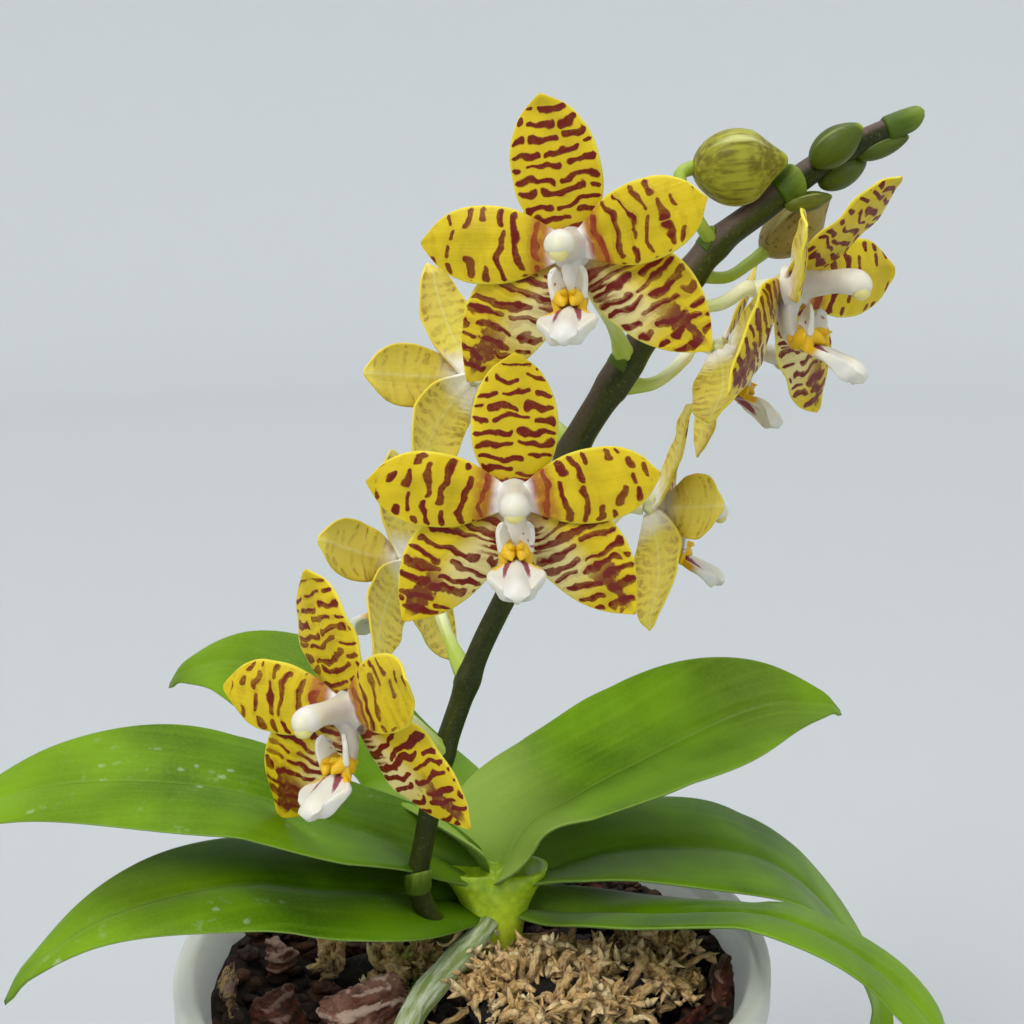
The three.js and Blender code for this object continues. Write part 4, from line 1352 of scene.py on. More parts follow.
@dataclass(frozen=True)
class Tepal:
    """One of a bloom's five tepals.

    Attributes:
        angle: Where it points in the bloom's plane, in degrees.
        long: Its length.
        half: Half its widest width.
        outline: Its half width at even steps from its base to its pointed tip, as shares of the widest.
        bend: How far it bends to the side.
        setback: How far it starts in front of the bloom's centre.
        kind: 0 for the dorsal sepal, 0.5 for a petal and 1 for a lateral sepal.
        inner: The sign of its inner side, on the lower two.
    """

    angle: float
    long: float
    half: float
    outline: Sequence[float]
    bend: float
    setback: float
    kind: float
    inner: float = 0.0

    THICKNESS = 0.5
    BULGE = 0.05
    CUP = 0.14
    RIPPLES = (0.32, 0.20)
    KEEL_DEPTH = 0.34
    KEEL_HALF = 0.7
    TIP_LIFT = 0.7
    ROWS = 48
    COLUMNS = 21

    def build(self, draft: Draft, bloom: "Bloom", pose: Pose, seed: int) -> None:
        """Add the tepal to a bloom.

        Args:
            draft: The bloom's tepals in the making.
            bloom: The bloom.
            pose: How this tepal stands on it.
            seed: Sets its markings apart.
        """
        right, top, out = bloom.axes()
        turn, tilt, twist = (math.radians(x) for x in (self.angle + pose.shift, pose.lean, pose.twist))
        flat = right * math.cos(turn) + top * math.sin(turn)
        ahead = flat * math.cos(tilt) + out * math.sin(tilt)
        square = out * math.cos(tilt) - flat * math.sin(tilt)
        across = np.cross(square, ahead)
        front = square * math.cos(twist) + across * math.sin(twist)
        side = across * math.cos(twist) - square * math.sin(twist)
        share = settle(self.ROWS)
        t = 0.03 + 0.97 * (0.35 * share + 0.65 * even(self.ROWS))
        steps = even(len(self.outline))
        shape = Run([(8 * step, width, 0) for step, width in zip(steps, self.outline)])
        traced = shape.at(even(200))
        width = np.interp(t, traced[:, 0] / 8, traced[:, 1]) * self.half * pose.wide
        s = spread(self.COLUMNS)[None]
        half, row = width[:, None], t[:, None]
        rise = self.long * self.BULGE * np.sin(math.pi * row) - self.CUP * s * s * half
        broad, small = self.RIPPLES
        ripple = broad * np.sin(row * 11 + 2.3 * seed) + small * np.sin(row * 23 + seed)
        rise = rise + ripple * np.abs(s) ** 3 * np.sin(math.pi * row) * np.sign(s + 0.01)
        rise = rise - self.KEEL_DEPTH * np.exp(-(s * half / self.KEEL_HALF) ** 2) * (1 - 0.6 * row)
        rise = rise + pose.curl * self.long * np.clip((row - 0.55) / 0.45, 0, 1) ** 2
        rise = rise + self.TIP_LIFT * ease(row, 0.9, 1.0)
        swing = s * half + self.bend * self.long * np.sin(math.pi * row)
        centre = np.asarray(bloom.at) + out * self.setback * bloom.size
        middle = (centre + ahead * (self.long * row * bloom.size)[..., None]
                  + side * (swing * bloom.size)[..., None] + front * (rise * bloom.size)[..., None])
        edge = rounded(1 - np.abs(s), 0.08) * rounded(1 - row, 0.03)
        thickness = self.THICKNESS * edge * (1 + 1.2 * (1 - row) ** 4)
        place = stack(s * half, row * self.long, seed * 13.7)
        draft.sheet(middle, thickness, place, stack(s, row), front, (self.inner, self.kind, 0))


DORSAL = (0.28, 0.50, 0.74, 0.90, 0.98, 1.0, 0.98, 0.90, 0.75, 0.50, 0.03)
PETAL = (0.22, 0.40, 0.62, 0.81, 0.94, 0.995, 1.0, 0.95, 0.81, 0.53, 0.03)
LATERAL = (0.22, 0.44, 0.68, 0.87, 0.98, 1.0, 0.97, 0.87, 0.69, 0.40, 0.02)
TEPALS = (
    Tepal(90, 24.2, 7.2, DORSAL, 0, -0.6, 0.0),
    Tepal(172, 24.6, 6.2, PETAL, 0, 0.5, 0.5),
    Tepal(8, 24.6, 6.2, PETAL, 0, 0.5, 0.5),
    Tepal(-135, 27.8, 7.2, LATERAL, -0.05, -1, 1.0, 1),
    Tepal(-45, 27.8, 7.2, LATERAL, 0.05, -1, 1.0, -1),
)


@dataclass(frozen=True)
class Bloom:
    """An open bloom: five tepals, the column and lip, and its stalk.

    Attributes:
        at: Its centre.
        facing: The way it faces, 0 to the front and 90 to the plant's right side.
        up: How far it looks up.
        turn: Its turn in its own plane.
        size: Its size for the usual one.
        poses: How each tepal stands.
        stalk: Its stalk.
    """

    at: Point
    facing: float
    up: float
    turn: float
    size: float
    poses: Sequence[Pose]
    stalk: Stalk

    KNOB_LENGTH = 3.6
    KNOB_RADII = (0.9, 1.6, 2.2, 2.5, 2.5, 2.2, 1.2)
    STALK_RADII = (2.1, 1.9, 1.35, 1.15, 1.15, 1.2, 1.25, 1.35, 1.5, 1.75)
    COLUMN_LINE = ((0, 0.0, 0.6), (0, 0.5, 4.0), (0, 0.6, 8.0), (0, 0.3, 11.2), (0, -0.3, 14.1))
    COLUMN_RADII = (3.4, 2.7, 2.2, 1.95, 1.8, 1.8, 1.95, 2.15, 2.2, 2.1, 1.9)
    CAP_LINE = ((0, -0.7, 11.0), (0, -0.9, 12.4), (0, -1.1, 13.95))
    CAP_RADIUS = 1.5
    FOOT_LINE = ((0, -0.6, 1.6), (0, -3.6, 0.9), (0, -6.6, 1.2), (0, -9.0, 3.0))
    FOOT_RADII = (2.4, 2.0, 1.8, 1.7, 1.5, 1.1)
    BUMP_RADII = (0.6, 1.2, 1.55, 1.6, 1.35, 0.9, 0.2)
    HORN_RADII = (0.7, 0.75, 0.55, 0.1)
    SIDE_LOBE_LONG = 7.0
    SIDE_LOBE_FRONT = 4.6
    MID_LOBE_LONG = 12.4
    MID_LOBE_HALVES = (1.5, 1.4, 1.5, 2.0, 3.1, 4.2, 4.8, 4.6, 3.6, 2.1, 0.2)

    def axes(self) -> tuple[Array, Array, Array]:
        """The bloom's right as seen from the front, its top, and the way out to the viewer."""
        level, turn = math.radians(self.up), math.radians(self.facing)
        out = np.array((math.sin(turn) * math.cos(level), -math.cos(turn) * math.cos(level), math.sin(level)))
        across = unit(np.cross((0, 0, 1), out))
        over = np.cross(out, across)
        angle = math.radians(self.turn)
        return (across * math.cos(angle) + over * math.sin(angle),
                over * math.cos(angle) - across * math.sin(angle), out)

    def place(self, points: Any) -> Array:
        """Turn points from the bloom's own axes into the plant's."""
        right, top, out = self.axes()
        points = np.asarray(points, float) * self.size
        return np.asarray(self.at) + points[..., :1] * right + points[..., 1:2] * top + points[..., 2:] * out

    def tepals(self, number: int, material: Material) -> Object:
        """Build the five tepals and the knob that they grow from."""
        draft = Draft()
        for index, (tepal, pose) in enumerate(zip(TEPALS, self.poses)):
            tepal.build(draft, self, pose, number * 5 + index)
        share = even(14)
        knob = self.place(stack(0, 0, RECEPTACLE_BACK + self.KNOB_LENGTH * share))
        radii = along(self.KNOB_RADII, share) * self.size
        draft.tube(knob, radii, 16, number * 9.0, trait=stack(0, 0, ease(share, 0.75, 0.35)))
        return draft.make(f"bloom_{number}_petals", material, Slot.TEPALS, f"bloom_{number}_tepals")

    def column(self, draft: Draft, number: int) -> None:
        """Add the column with its rounded hood, its anther cap and its foot."""
        run = Run(self.COLUMN_LINE)
        share = settle(48)
        angle = circle(28)
        hood = dome(np.clip(share - 0.80, 0, 1) / 0.2)
        radius = (along(self.COLUMN_RADII, share) * hood + 0.02)[:, None]
        under = np.clip(-np.sin(angle), 0, 1)[None] ** 2
        late = ease(share, 0.35, 0.7)[:, None] * ease(share, 1.0, 0.85)[:, None]
        shape = radius * (1 - 0.30 * under * late + 0.10 * np.abs(np.cos(angle))[None] ** 4 * late)
        trait = stack(LipPart.COLUMN.value, ease(share, 0.82, 1.0) * 0.25, 0)
        draft.tube(self.place(run.at(share)), shape * self.size, 28, number * 17.0, 1.06, trait=trait)
        share = even(16)
        radii = self.CAP_RADIUS * dome(2 * share - 1) + 0.02
        draft.tube(self.place(Run(self.CAP_LINE).at(share)), radii * self.size, 16, number * 18.0, 0.85,
                   (LipPart.COLUMN.value, 1, 0))
        steps = 22
        self.bar(draft, self.FOOT_LINE, self.FOOT_RADII, steps, 14, number * 19.0,
                 stack(LipPart.FOOT.value, 0, ease(even(steps), 0.7, 1.1)), 0.75)

    def bar(self, draft: Draft, line: Knots, radii: Sequence[float], steps: int, sides: int, seed: float,
            trait: Any, flat: float = 1.0) -> None:
        """Add a round bar of the lip or column, its line given in the bloom's own axes."""
        share = even(steps)
        draft.tube(self.place(Run(line).at(share)), along(radii, share) * self.size, sides, seed, flat, trait)

    def side_lobe(self, draft: Draft, number: int, sign: int) -> None:
        """Add one upright side lobe of the lip, its front edge turned out."""
        p = even(26)[:, None]
        q = spread(17)[None]
        reach = 1 - 0.15 * p ** 2 - 0.45 * p ** 9
        x = sign * (0.35 + 1.1 * p + (q + 1) * 1.1 * reach * (0.70 + 0.30 * p))
        z = self.SIDE_LOBE_FRONT + 0.6 * p + q * 1.5 * reach
        y = -9.9 + self.SIDE_LOBE_LONG * p - 0.9 * q * (1 - p) - 0.9 * q * q * p + 0.4 * p ** 3 * q
        middle = self.place(stack(x, y, z))
        edge = rounded(1 - np.abs(q), 0.15) * rounded(1 - p, 0.12) * rounded(p, 0.05)
        thick = (0.8 + 1.1 * (1 - p) ** 2) * edge * self.size
        mark = stack(z - self.SIDE_LOBE_FRONT, self.SIDE_LOBE_LONG * p, number * 23.0 + sign)
        trait = stack(LipPart.SIDE_LOBE.value, 0, ease(p + 0.08 * q, 0.60, 0.34))
        draft.sheet(middle, thick, mark, stack(q, p), self.axes()[0] * sign, trait)

    def mid_lobe(self, draft: Draft, number: int) -> None:
        """Add the lip's mid lobe: a narrow claw, two wings and a thick toothed end."""
        t = even(44)[:, None]
        s = spread(27)[None]
        outline = Run([(step, half, 0) for step, half in enumerate(self.MID_LOBE_HALVES)])
        traced = outline.at(even(200))
        half = np.interp(10 * t, traced[:, 0], traced[:, 1])
        ragged = (0.12 * np.sin(t * 37 + number) + 0.08 * np.sin(t * 71 + 2 * number)) * ease(t, 0.62, 0.85)
        x = s * (half + ragged * (1 - t) ** 0.5 * 1.6)
        z = 1.7 + self.MID_LOBE_LONG * t - 0.5 * s * s * ease(t, 0.4, 0.7) * ease(t, 1.0, 0.8)
        keel = 1.3 * np.exp(-(x / 1.1) ** 2) * ease(t, 0.1, 0.6) * ease(t, 1.02, 0.9)
        groove = 0.25 * np.exp(-((np.abs(x) - 1.9) / 0.8) ** 2) * ease(t, 0.45, 0.8)
        y = -8.8 - 4.6 * t ** 1.1 - 1.5 * t ** 4 + keel - groove
        y = y + 0.7 * s * s * ease(t, 0.35, 0.7) * ease(t, 1.0, 0.7) + 1.1 * s * s * ease(t, 0.5, 0.05)
        middle = self.place(stack(x, y, z))
        edge = rounded(1 - np.abs(s), 0.10) * rounded(1 - t, 0.06) * rounded(t, 0.05)
        thick = (1.3 + 1.2 * ease(t, 0.6, 0.9)) * edge * self.size
        gold = ease(t, 0.66, 0.40) * ease(np.abs(s), 0.45, 0.85) * 0.8 + ease(t, 0.12, 0.04)
        trait = stack(LipPart.MID_LOBE.value, 0, np.clip(gold, 0, 1))
        mark = stack(x, 13.0 * t, number * 29.0)
        draft.sheet(middle, thick, mark, stack(s, t), self.axes()[1], trait)

    def callus(self, draft: Draft, number: int) -> None:
        """Add the golden callus, two pairs of bumps between the side lobes."""
        trait = (LipPart.CALLUS.value, 0, 0.82)
        for sign in (-1, 1):
            self.bar(draft, [(0.9 * sign, -9.6, 2.8), (1.3 * sign, -8.3, 4.4), (1.2 * sign, -7.9, 6.0),
                             (0.7 * sign, -8.8, 7.8)],
                     self.BUMP_RADII, 14, 12, number * 31.0 + sign, trait)
            self.bar(draft, [(0.5 * sign, -7.9, 5.2), (0.7 * sign, -7.0, 6.6), (0.9 * sign, -6.8, 8.1)],
                     self.HORN_RADII, 14, 10, number * 33.0 + sign, trait)

    def lip(self, number: int, material: Material) -> Object:
        """Build the column and lip."""
        draft = Draft()
        self.column(draft, number)
        for sign in (-1, 1):
            self.side_lobe(draft, number, sign)
        self.mid_lobe(draft, number)
        self.callus(draft, number)
        return draft.make(f"bloom_{number}_lip", material, Slot.LIP, f"bloom_{number}_lip_column")

    def pedicel(self, number: int, spike: Spike, material: Material) -> Object:
        """Build the stalk."""
        neck = [self.place((0, 0, RECEPTACLE_BACK - 3.5)), self.place((0, 0, RECEPTACLE_BACK - 0.1))]
        run = Run([spike.start(self.stalk), *self.stalk.way, *neck])
        share = even(60)
        ribs = 1 + 0.06 * np.sin(6 * circle(18)[None] + share[:, None] * 7)
        radii = along(self.STALK_RADII, share)[:, None] * ribs
        draft = Draft()
        draft.tube(run.at(share), radii, 18, number * 37.0)
        return draft.make(f"bloom_{number}_stalk", material, Slot.PEDICEL, f"bloom_{number}_pedicel")


BLOOMS = (
    Bloom((19.5, -27, 248.5), -12, 3, 4, 1.03,
          (Pose(7, 10), Pose(2, 1), Pose(6, 21), Pose(2, 0), Pose(6, 7)),
          Stalk((30, -5.5, 227.5), ((27.5, -11, 234), (23, -19, 242)))),
    Bloom((9.5, -31, 207.5), 0, 4, 1, 1.01,
          (Pose(-2, 4), Pose(-2, 8), Pose(2, 11), Pose(1, 4), Pose(0, 8)),
          Stalk((15.5, -7, 200.5), ((14.5, -14, 204), (12.5, -21, 207)))),
    Bloom((-20, -27, 169), -29, 8, 12, 1.08,
          (Pose(6, 9, 16), Pose(-5, 4), Pose(7, 24, 0, 0.08), Pose(-3, -6, 12, -0.02, 1.1),
           Pose(-1, -1, -18)),
          Stalk((-5, -12, 154), ((-8, -15, 160), (-12.5, -19.5, 166)))),
    Bloom((57.5, -12, 240.5), 54, 3, -15, 1.12,
          (Pose(-6, 45, -11), Pose(-2, 29, -8), Pose(10, 20), Pose(0, 6, 18), Pose(8, -3, -12)),
          Stalk((42, -4.5, 233.5), ((46.5, -8, 237.5), (51, -10, 240.5)))),
    Bloom((50.5, 12, 227.5), 89, -12, -24, 0.93,
          (Pose(-16, 14), Pose(0, 9), Pose(0, 9), Pose(6, -4, 42), Pose(2, 5, 12)),
          Stalk((31, -4, 221), ((35.5, -1, 222.5), (42, 6, 226)))),
    Bloom((38, 14, 195.5), 85, -4, 0, 1.02,
          (Pose(20, 13), Pose(-8, 26), Pose(0, 9), Pose(-2, 2, 34), Pose(0, 9)),
          Stalk((12, -7, 191), ((19, -1, 191), (28, 5, 195)))),
    Bloom((0.5, 26, 220.5), -128, -9, 1, 1.03,
          (Pose(-5, 13), Pose(0, 9), Pose(1, 11), Pose(0, 9), Pose(5, -2)),
          Stalk((20.5, -5, 211), ((17, 3, 214.5), (10, 13, 218)))),
    Bloom((-13.5, 24, 182), -119, -9, 14, 1.01,
          (Pose(0, 7), Pose(0, 9), Pose(3, 8), Pose(4, 3), Pose(0, -10)),
          Stalk((-0.5, -9, 168.5), ((-2.5, -3, 172), (-5.5, 8, 176)))),
)


@dataclass(frozen=True)
class Bud:
    """A closed bud, with a stalk of its own where it has one.

    Attributes:
        base: Where it starts.
        tip: Where it points.
        half: Half its width.
        ripe: How near it is to opening, which sets its colour, and tan past 1.
        stalk: Its stalk.
    """

    base: Point
    tip: Point
    half: float
    ripe: float
    stalk: Optional[Stalk] = None

    SEAMS = (0.35, 2.45, 4.5)
    SEAM_HALF = 0.13
    SEAM_RISE = 0.055
    LOBE_RISE = 0.05
    BEAK = 0.30
    PEAK = 0.45
    STALK_RADII = (1.35, 1.15, 1.1, 1.2, 1.5)

    def build(self, number: int, spike: Spike, material: Material) -> Object:
        """Build the bud.

        Args:
            number: Its number, which sets its markings apart.
            spike: The spike that it grows from.
            material: The bud's finish.

        Returns:
            The piece.
        """
        rings, sides = 40, 48
        base, tip = np.asarray(self.base, float), np.asarray(self.tip, float)
        share = settle(rings, 0.02)
        skew = math.log(0.5) / math.log(self.PEAK)
        bow = np.sin(math.pi * share ** skew).clip(0) ** 0.6
        beak = self.BEAK * ease(share, 0.62, 0.92) * ease(share, 1.04, 0.94)
        radius = self.half * bow * (1 - beak * min(self.ripe, 1)) + 0.12
        angle = circle(sides)
        seam = sum(np.exp(-(np.angle(np.exp(1j * (angle - at))) / self.SEAM_HALF) ** 2) for at in self.SEAMS)
        lobes = self.LOBE_RISE * np.cos(3 * (angle - self.SEAMS[0] - math.pi / 3))
        middle = np.sin(math.pi * share)[:, None]
        shape = radius[:, None] * (1 + (self.SEAM_RISE * seam - lobes)[None] * middle * min(self.ripe, 1))
        centres = base + (tip - base) * share[:, None]
        draft = Draft()
        draft.tube(centres, shape, sides, number * 41.0, trait=stack(self.ripe, seam[None] * middle, 0))
        if self.stalk:
            run = Run([spike.start(self.stalk), *self.stalk.way])
            share = even(44)
            radii = along(self.STALK_RADII, share)
            draft.tube(run.at(share), radii, 16, number * 43.0, trait=(self.ripe, 0, 1))
        return draft.make(f"closed_bud_{number}", material, Slot.BUD, f"bud_{number}")


BUDS = (
    Bud((41.8, -4, 260.9), (58.6, -5.5, 262.4), 6.5, 1.0,
        Stalk((45.5, -5.5, 248), ((43, -8, 251.5), (40.5, -8, 256), (39.5, -6, 260), (42, -4.2, 261.3),
                                  (45, -4.2, 261.5)))),
    Bud((56.4, 5.6, 245.8), (68.8, 6.5, 256.3), 4.6, 1.6,
        Stalk((45, -3, 240.5), ((49, 0, 241.8), (53.5, 3, 244), (56.5, 5, 245.9), (59, 5.8, 248)))),
    Bud((62.6, -5.5, 261.6), (70.8, -8, 268.0), 3.2, 0.2),
    Bud((65.0, -2, 258.0), (73.8, 0.5, 262.6), 2.7, 0.0),
    Bud((58.5, -4.5, 254.4), (67.3, -2.2, 256), 1.7, 0.5),
    Bud((71.5, -2.5, 262.7), (80.8, -1.5, 266.3), 1.7, 0.1),
)


@dataclass(frozen=True)
class Crown:
    """The short stem, hidden in the fan of leaf bases that clasp it.

    Attributes:
        outside: Heights, half widths along the row of leaves and half widths across it, from below.
        inside: The same for the shallow hollow in its top, from the rim.
        notch: How far the rim drops between the leaves.
    """

    outside: Knots = (
        (83, 3.9, 3.9), (95, 4.7, 4.5), (105, 5.2, 4.8), (110, 5.7, 5.2), (114, 6.4, 5.5), (117.5, 7.6, 5.6),
        (120, 9.0, 5.4), (122.2, 10.4, 4.9), (123.8, 10.9, 3.8))
    inside: Knots = ((124.0, 9.8, 2.6), (123.2, 7.0, 1.9), (122.4, 4.0, 1.2), (122.0, 1.0, 0.5))
    notch: float = 0.9

    def build(self, material: Material) -> Object:
        """Build the crown."""
        rows = np.concatenate([Run(self.outside).at(even(50)),
                               Run(self.inside).at(even(20))])
        angle = circle(72)
        height, wide, deep = (rows[:, k:k + 1] for k in range(3))
        side = np.abs(np.cos(angle))[None]
        flare = ease(height, 112, 126)
        reach = deep + (wide - deep) * side ** (1.0 + flare)
        front = np.angle(np.exp(1j * (angle + math.pi / 2 + 0.12)))[None]
        crease = np.exp(-((np.abs(front) - 0.10 - 0.05 * (height - 112)) / 0.09) ** 2)
        crease = 0.22 * crease * ease(height, 110, 115)
        ripple = 0.10 * np.sin(angle[None] * 9 + height * 0.4)
        reach = reach - crease + ripple
        lean = ease(height, 95, CROWN_TOP) * 0.5
        x, y = CROWN_AT
        rings = stack(x + reach * np.cos(angle), y + lean + reach * np.sin(angle),
                      height - self.notch * flare * (1 - side))
        share = np.clip((height - 95) / 32, 0, 1)
        blade = np.concatenate([stack(0, share, 0 * angle).reshape(-1, 3), [(0, 0, 0), (0, 1, 0)]])
        draft = Draft()
        draft.shell(rings, blade=blade)
        return draft.make("leaf_bases", material, Slot.CROWN, "crown")


@dataclass(frozen=True)
class AerialRoot:
    """The root that runs from the crown over the moss into the mix."""

    line: Knots = (
        (3.6, -1, 113.5), (1.6, -5.6, 113.2), (-1.5, -9.2, 111.3), (-4.7, -11.8, 109), (-10.8, -19.5, 105),
        (-13.5, -28, 101), (-15.5, -35, 94), (-16, -37.5, 86))
    radii: Sequence[float] = (2.1, 2.6, 2.7, 2.6, 2.4, 2.3)

    def build(self, material: Material) -> Object:
        """Build the root."""
        share = even(120)
        angle = circle(24)
        lumps = (1 + 0.05 * np.sin(2 * angle[None] + share[:, None] * 9)
                 + 0.04 * np.sin(share[:, None] * 37) + 0.03 * np.sin(5 * angle[None] + share[:, None] * 21))
        draft = Draft()
        draft.tube(Run(self.line).at(share), along(self.radii, share)[:, None] * lumps, 24)
        return draft.make("silver_root", material, Slot.ROOT, "aerial_root")


@dataclass(frozen=True)
class Mound:
    """A low mound of moss: its middle, its half sizes and how many strands stand out of it."""

    at: Point
    size: Point
    strands: int


@dataclass
class Moss:
    """A clump of dried sphagnum on the mix.

    Attributes:
        node: The frame's node for it.
        mounds: Its mounds.
        seed: Sets its strands.
        live: A point where it still grows green.
    """

    node: str
    mounds: Sequence[Mound]
    seed: int
    live: Optional[Point] = None

    STEPS = 12
    SIDES = 7
    LENGTHS = (6.0, 13.0)
    TURNS = (30, 230)
    RADII = (0.65, 1.25)
    TWIGS = (2, 7)
    TWIG_LENGTHS = (1.4, 3.2)
    GREEN_LENGTH = 0.6
    GREEN_RADIUS = 0.7
    HOLLOW = 0.04
    TAPER = (0.9, 1.0, 1.05, 1.0, 0.9, 0.65, 0.10)
    TWIG_TAPER = (0.75, 0.7, 0.45, 0.06)

    def strand(self, draft: Draft, draw: np.random.Generator, start: Array, out: Array, green: float) -> None:
        """Add one curling strand.

        Args:
            draft: The clump in the making.
            draw: The clump's random draws.
            start: Where it leaves the mound.
            out: The way out of the mound there.
            green: How green it is.
        """
        length = draw.uniform(*self.LENGTHS) * (self.GREEN_LENGTH if green > 0.5 else 1.0)
        way = unit(out + draw.normal(0, 0.5, 3))
        axis = unit(np.cross(way, draw.normal(0, 1, 3)))
        turn = math.radians(draw.uniform(*self.TURNS)) / self.STEPS
        points = [start - out * 1.2]
        ways = [way]
        for _ in range(self.STEPS - 1):
            points.append(points[-1] + way * length / self.STEPS)
            way = unit(way * math.cos(turn) + np.cross(axis, way) * math.sin(turn) + draw.normal(0, 0.16, 3))
            ways.append(way)
        points = np.array(points)
        points[:, 2] = np.maximum(points[:, 2], MIX_TOP + 0.5)
        share = even(self.STEPS)
        thick = draw.uniform(*self.RADII) * (self.GREEN_RADIUS if green > 0.5 else 1.0)
        radii = thick * along(self.TAPER, share)
        lumps = 1 + 0.30 * draw.uniform(-1, 1, (self.STEPS, self.SIDES)) + 0.16 * np.sin(share * 26)[:, None]
        pale = np.clip(draw.uniform(0.15, 0.8) + 0.7 * (share - 0.5), 0, 1)
        trait = stack(pale, green, 0)
        seed = draw.uniform(0, 400)
        draft.tube(points, radii[:, None] * lumps, self.SIDES, seed, draw.uniform(0.6, 1), trait)
        for step in draw.integers(3, self.STEPS, size=draw.integers(*self.TWIGS)):
            self.leaflet(draft, draw, points[step], ways[step], thick, (pale[step], green, 0), seed)

    def leaflet(self, draft: Draft, draw: np.random.Generator, start: Array, way: Array, thick: float,
                trait: tuple[float, float, float], seed: float) -> None:
        """Add one short pointed side shoot of a strand.

        Args:
            draft: The clump in the making.
            draw: The clump's random draws.
            start: Where it leaves the strand.
            way: The strand's direction there.
            thick: The strand's radius.
            trait: The strand's trait mark.
            seed: Sets its noise apart.
        """
        aim = unit(unit(np.cross(way, draw.normal(0, 1, 3))) + way * 0.7)
        bow = unit(np.cross(aim, way)) * draw.uniform(-0.5, 0.5)
        reach = draw.uniform(*self.TWIG_LENGTHS)
        share = even(6)[:, None]
        points = start + aim * share * reach + bow * share ** 2 * reach
        draft.tube(points, thick * along(self.TWIG_TAPER, share[:, 0]), 5, seed, trait=trait)

    def core(self, draft: Draft, mound: Mound) -> None:
        """Add the inside of a mound, painted near-black to stand in for the shade between the strands."""
        tilt = np.linspace(0.02, math.pi - 0.02, 14)[:, None]
        turn = circle(26)
        ball = stack(np.sin(tilt) * np.cos(turn), np.sin(tilt) * np.sin(turn), np.cos(tilt))
        points = np.asarray(mound.at) + ball * np.asarray(mound.size) * 0.76
        points[..., 2] = np.maximum(points[..., 2], MIX_TOP + 0.3)
        draft.shell(points, blade=(0, 0.5, 0), trait=(0.3, 0, 1))

    def build(self, material: Material,
              keep_clear: Sequence[tuple[Array, float]]) -> Object:
        """Build the clump.

        Args:
            material: The moss's finish.
            keep_clear: Lines that strands stay clear of, each with its distance.

        Returns:
            The piece.
        """
        draw = np.random.default_rng(self.seed)
        draft = Draft()
        for mound in self.mounds:
            self.core(draft, mound)
            for _ in range(mound.strands):
                tilt = math.acos(draw.uniform(0.05, 1))
                turn = draw.uniform(0, 2 * math.pi)
                ball = np.array((math.sin(tilt) * math.cos(turn), math.sin(tilt) * math.sin(turn),
                                 math.cos(tilt)))
                start = np.asarray(mound.at) + ball * np.asarray(mound.size) * draw.uniform(0.66, 0.92)
                out = unit(ball / np.asarray(mound.size))
                hollow = noise.noise(Vector(start * 0.14) + Vector((self.seed, 0, 0)))
                if start[2] < MIX_TOP + 0.8 or hollow > self.HOLLOW:
                    continue
                if any(np.linalg.norm(line - start, axis=1).min() < gap for line, gap in keep_clear):
                    continue
                green = 0.0
                if self.live is not None:
                    green = float(ease(np.linalg.norm(start - np.asarray(self.live)), 5.5, 2.5))
                self.strand(draft, draw, start, out, green)
        return draft.make(f"{self.node}_strands", material, Slot.MOSS, self.node)


MOSS = (
    Moss("sphagnum_main", (Mound((15, -13, 101.5), (21, 15, 8.5), 430),
                           Mound((36, -2, 101), (10, 11, 6), 150)), 17, (25, -27, 103)),
    Moss("sphagnum_left", (Mound((-20, 2, 100), (13, 6, 5), 130),), 41, (-13, -3, 104)),
)


@dataclass(frozen=True)
class Chip:
    """One chip of bark, given its shape by the frame's node.

    Attributes:
        number: Its number.
        turn: How its grain is turned, in degrees.
        tone: How rosy and pale it is.
        kind: 1 where it is charred.
    """

    number: int
    turn: float
    tone: float
    kind: float = 0.0

    VOXEL = 0.45
    DEEPEST = 1.3
    HIGHEST = 0.5
    PLATE = 1.3
    CRAG = 1.1
    GRIT = 0.35

    def build(self, material: Material) -> Object:
        """Build the chip: the node's solid in small faces, broken along the grain."""
        node = f"bark_chip_{self.number}"
        rough = put(f"{node}_rough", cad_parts[node].data.copy())
        cut = rough.modifiers.new("cut", "REMESH")
        cut.mode = "VOXEL"
        cut.voxel_size = self.VOXEL * MM
        shape = rough.evaluated_get(bpy.context.evaluated_depsgraph_get()).to_mesh()
        points = np.empty(len(shape.vertices) * 3)
        shape.vertices.foreach_get("co", points)
        points = points.reshape(-1, 3) / MM
        normals = np.empty(points.size)
        shape.vertices.foreach_get("normal", normals)
        normals = normals.reshape(-1, 3)
        faces = [tuple(face.vertices) for face in shape.polygons]
        bpy.data.objects.remove(rough)
        grain = (points - points.mean(0)) @ spin(math.radians(self.turn)).T
        seed = self.number * 23.0
        moved = points.copy()
        wear = np.empty(len(points))
        for i, (x, y, z) in enumerate(grain):
            layer = noise.noise(Vector((x * 0.08 + seed, y * 0.22, z * 0.75)))
            plate = math.floor(layer * 5 + 0.5 * noise.noise(Vector((x * 0.4, y * 0.5 + seed, z)))) / 5
            crag = abs(noise.noise(Vector((x * 0.22 + seed, y * 0.55, z * 0.9 + 7))))
            chip = noise.noise(Vector((x * 0.8, y * 1.2 + seed, z * 1.5)))
            depth = self.PLATE * plate - self.CRAG * crag + self.GRIT * chip
            moved[i] += normals[i] * min(max(depth, -self.DEEPEST), self.HIGHEST)
            wear[i] = 0.6 + depth
        draft = Draft()
        draft.points.append(moved)
        draft.faces = faces
        draft.count = len(points)
        trait = stack(self.tone, wear, self.kind)
        for name, value in zip(Draft.MARKS, (grain + (seed, 0, 0), grain, trait)):
            draft.marks[name].append(value)
        return draft.make(f"{node}_split", material, Slot.BARK, node)


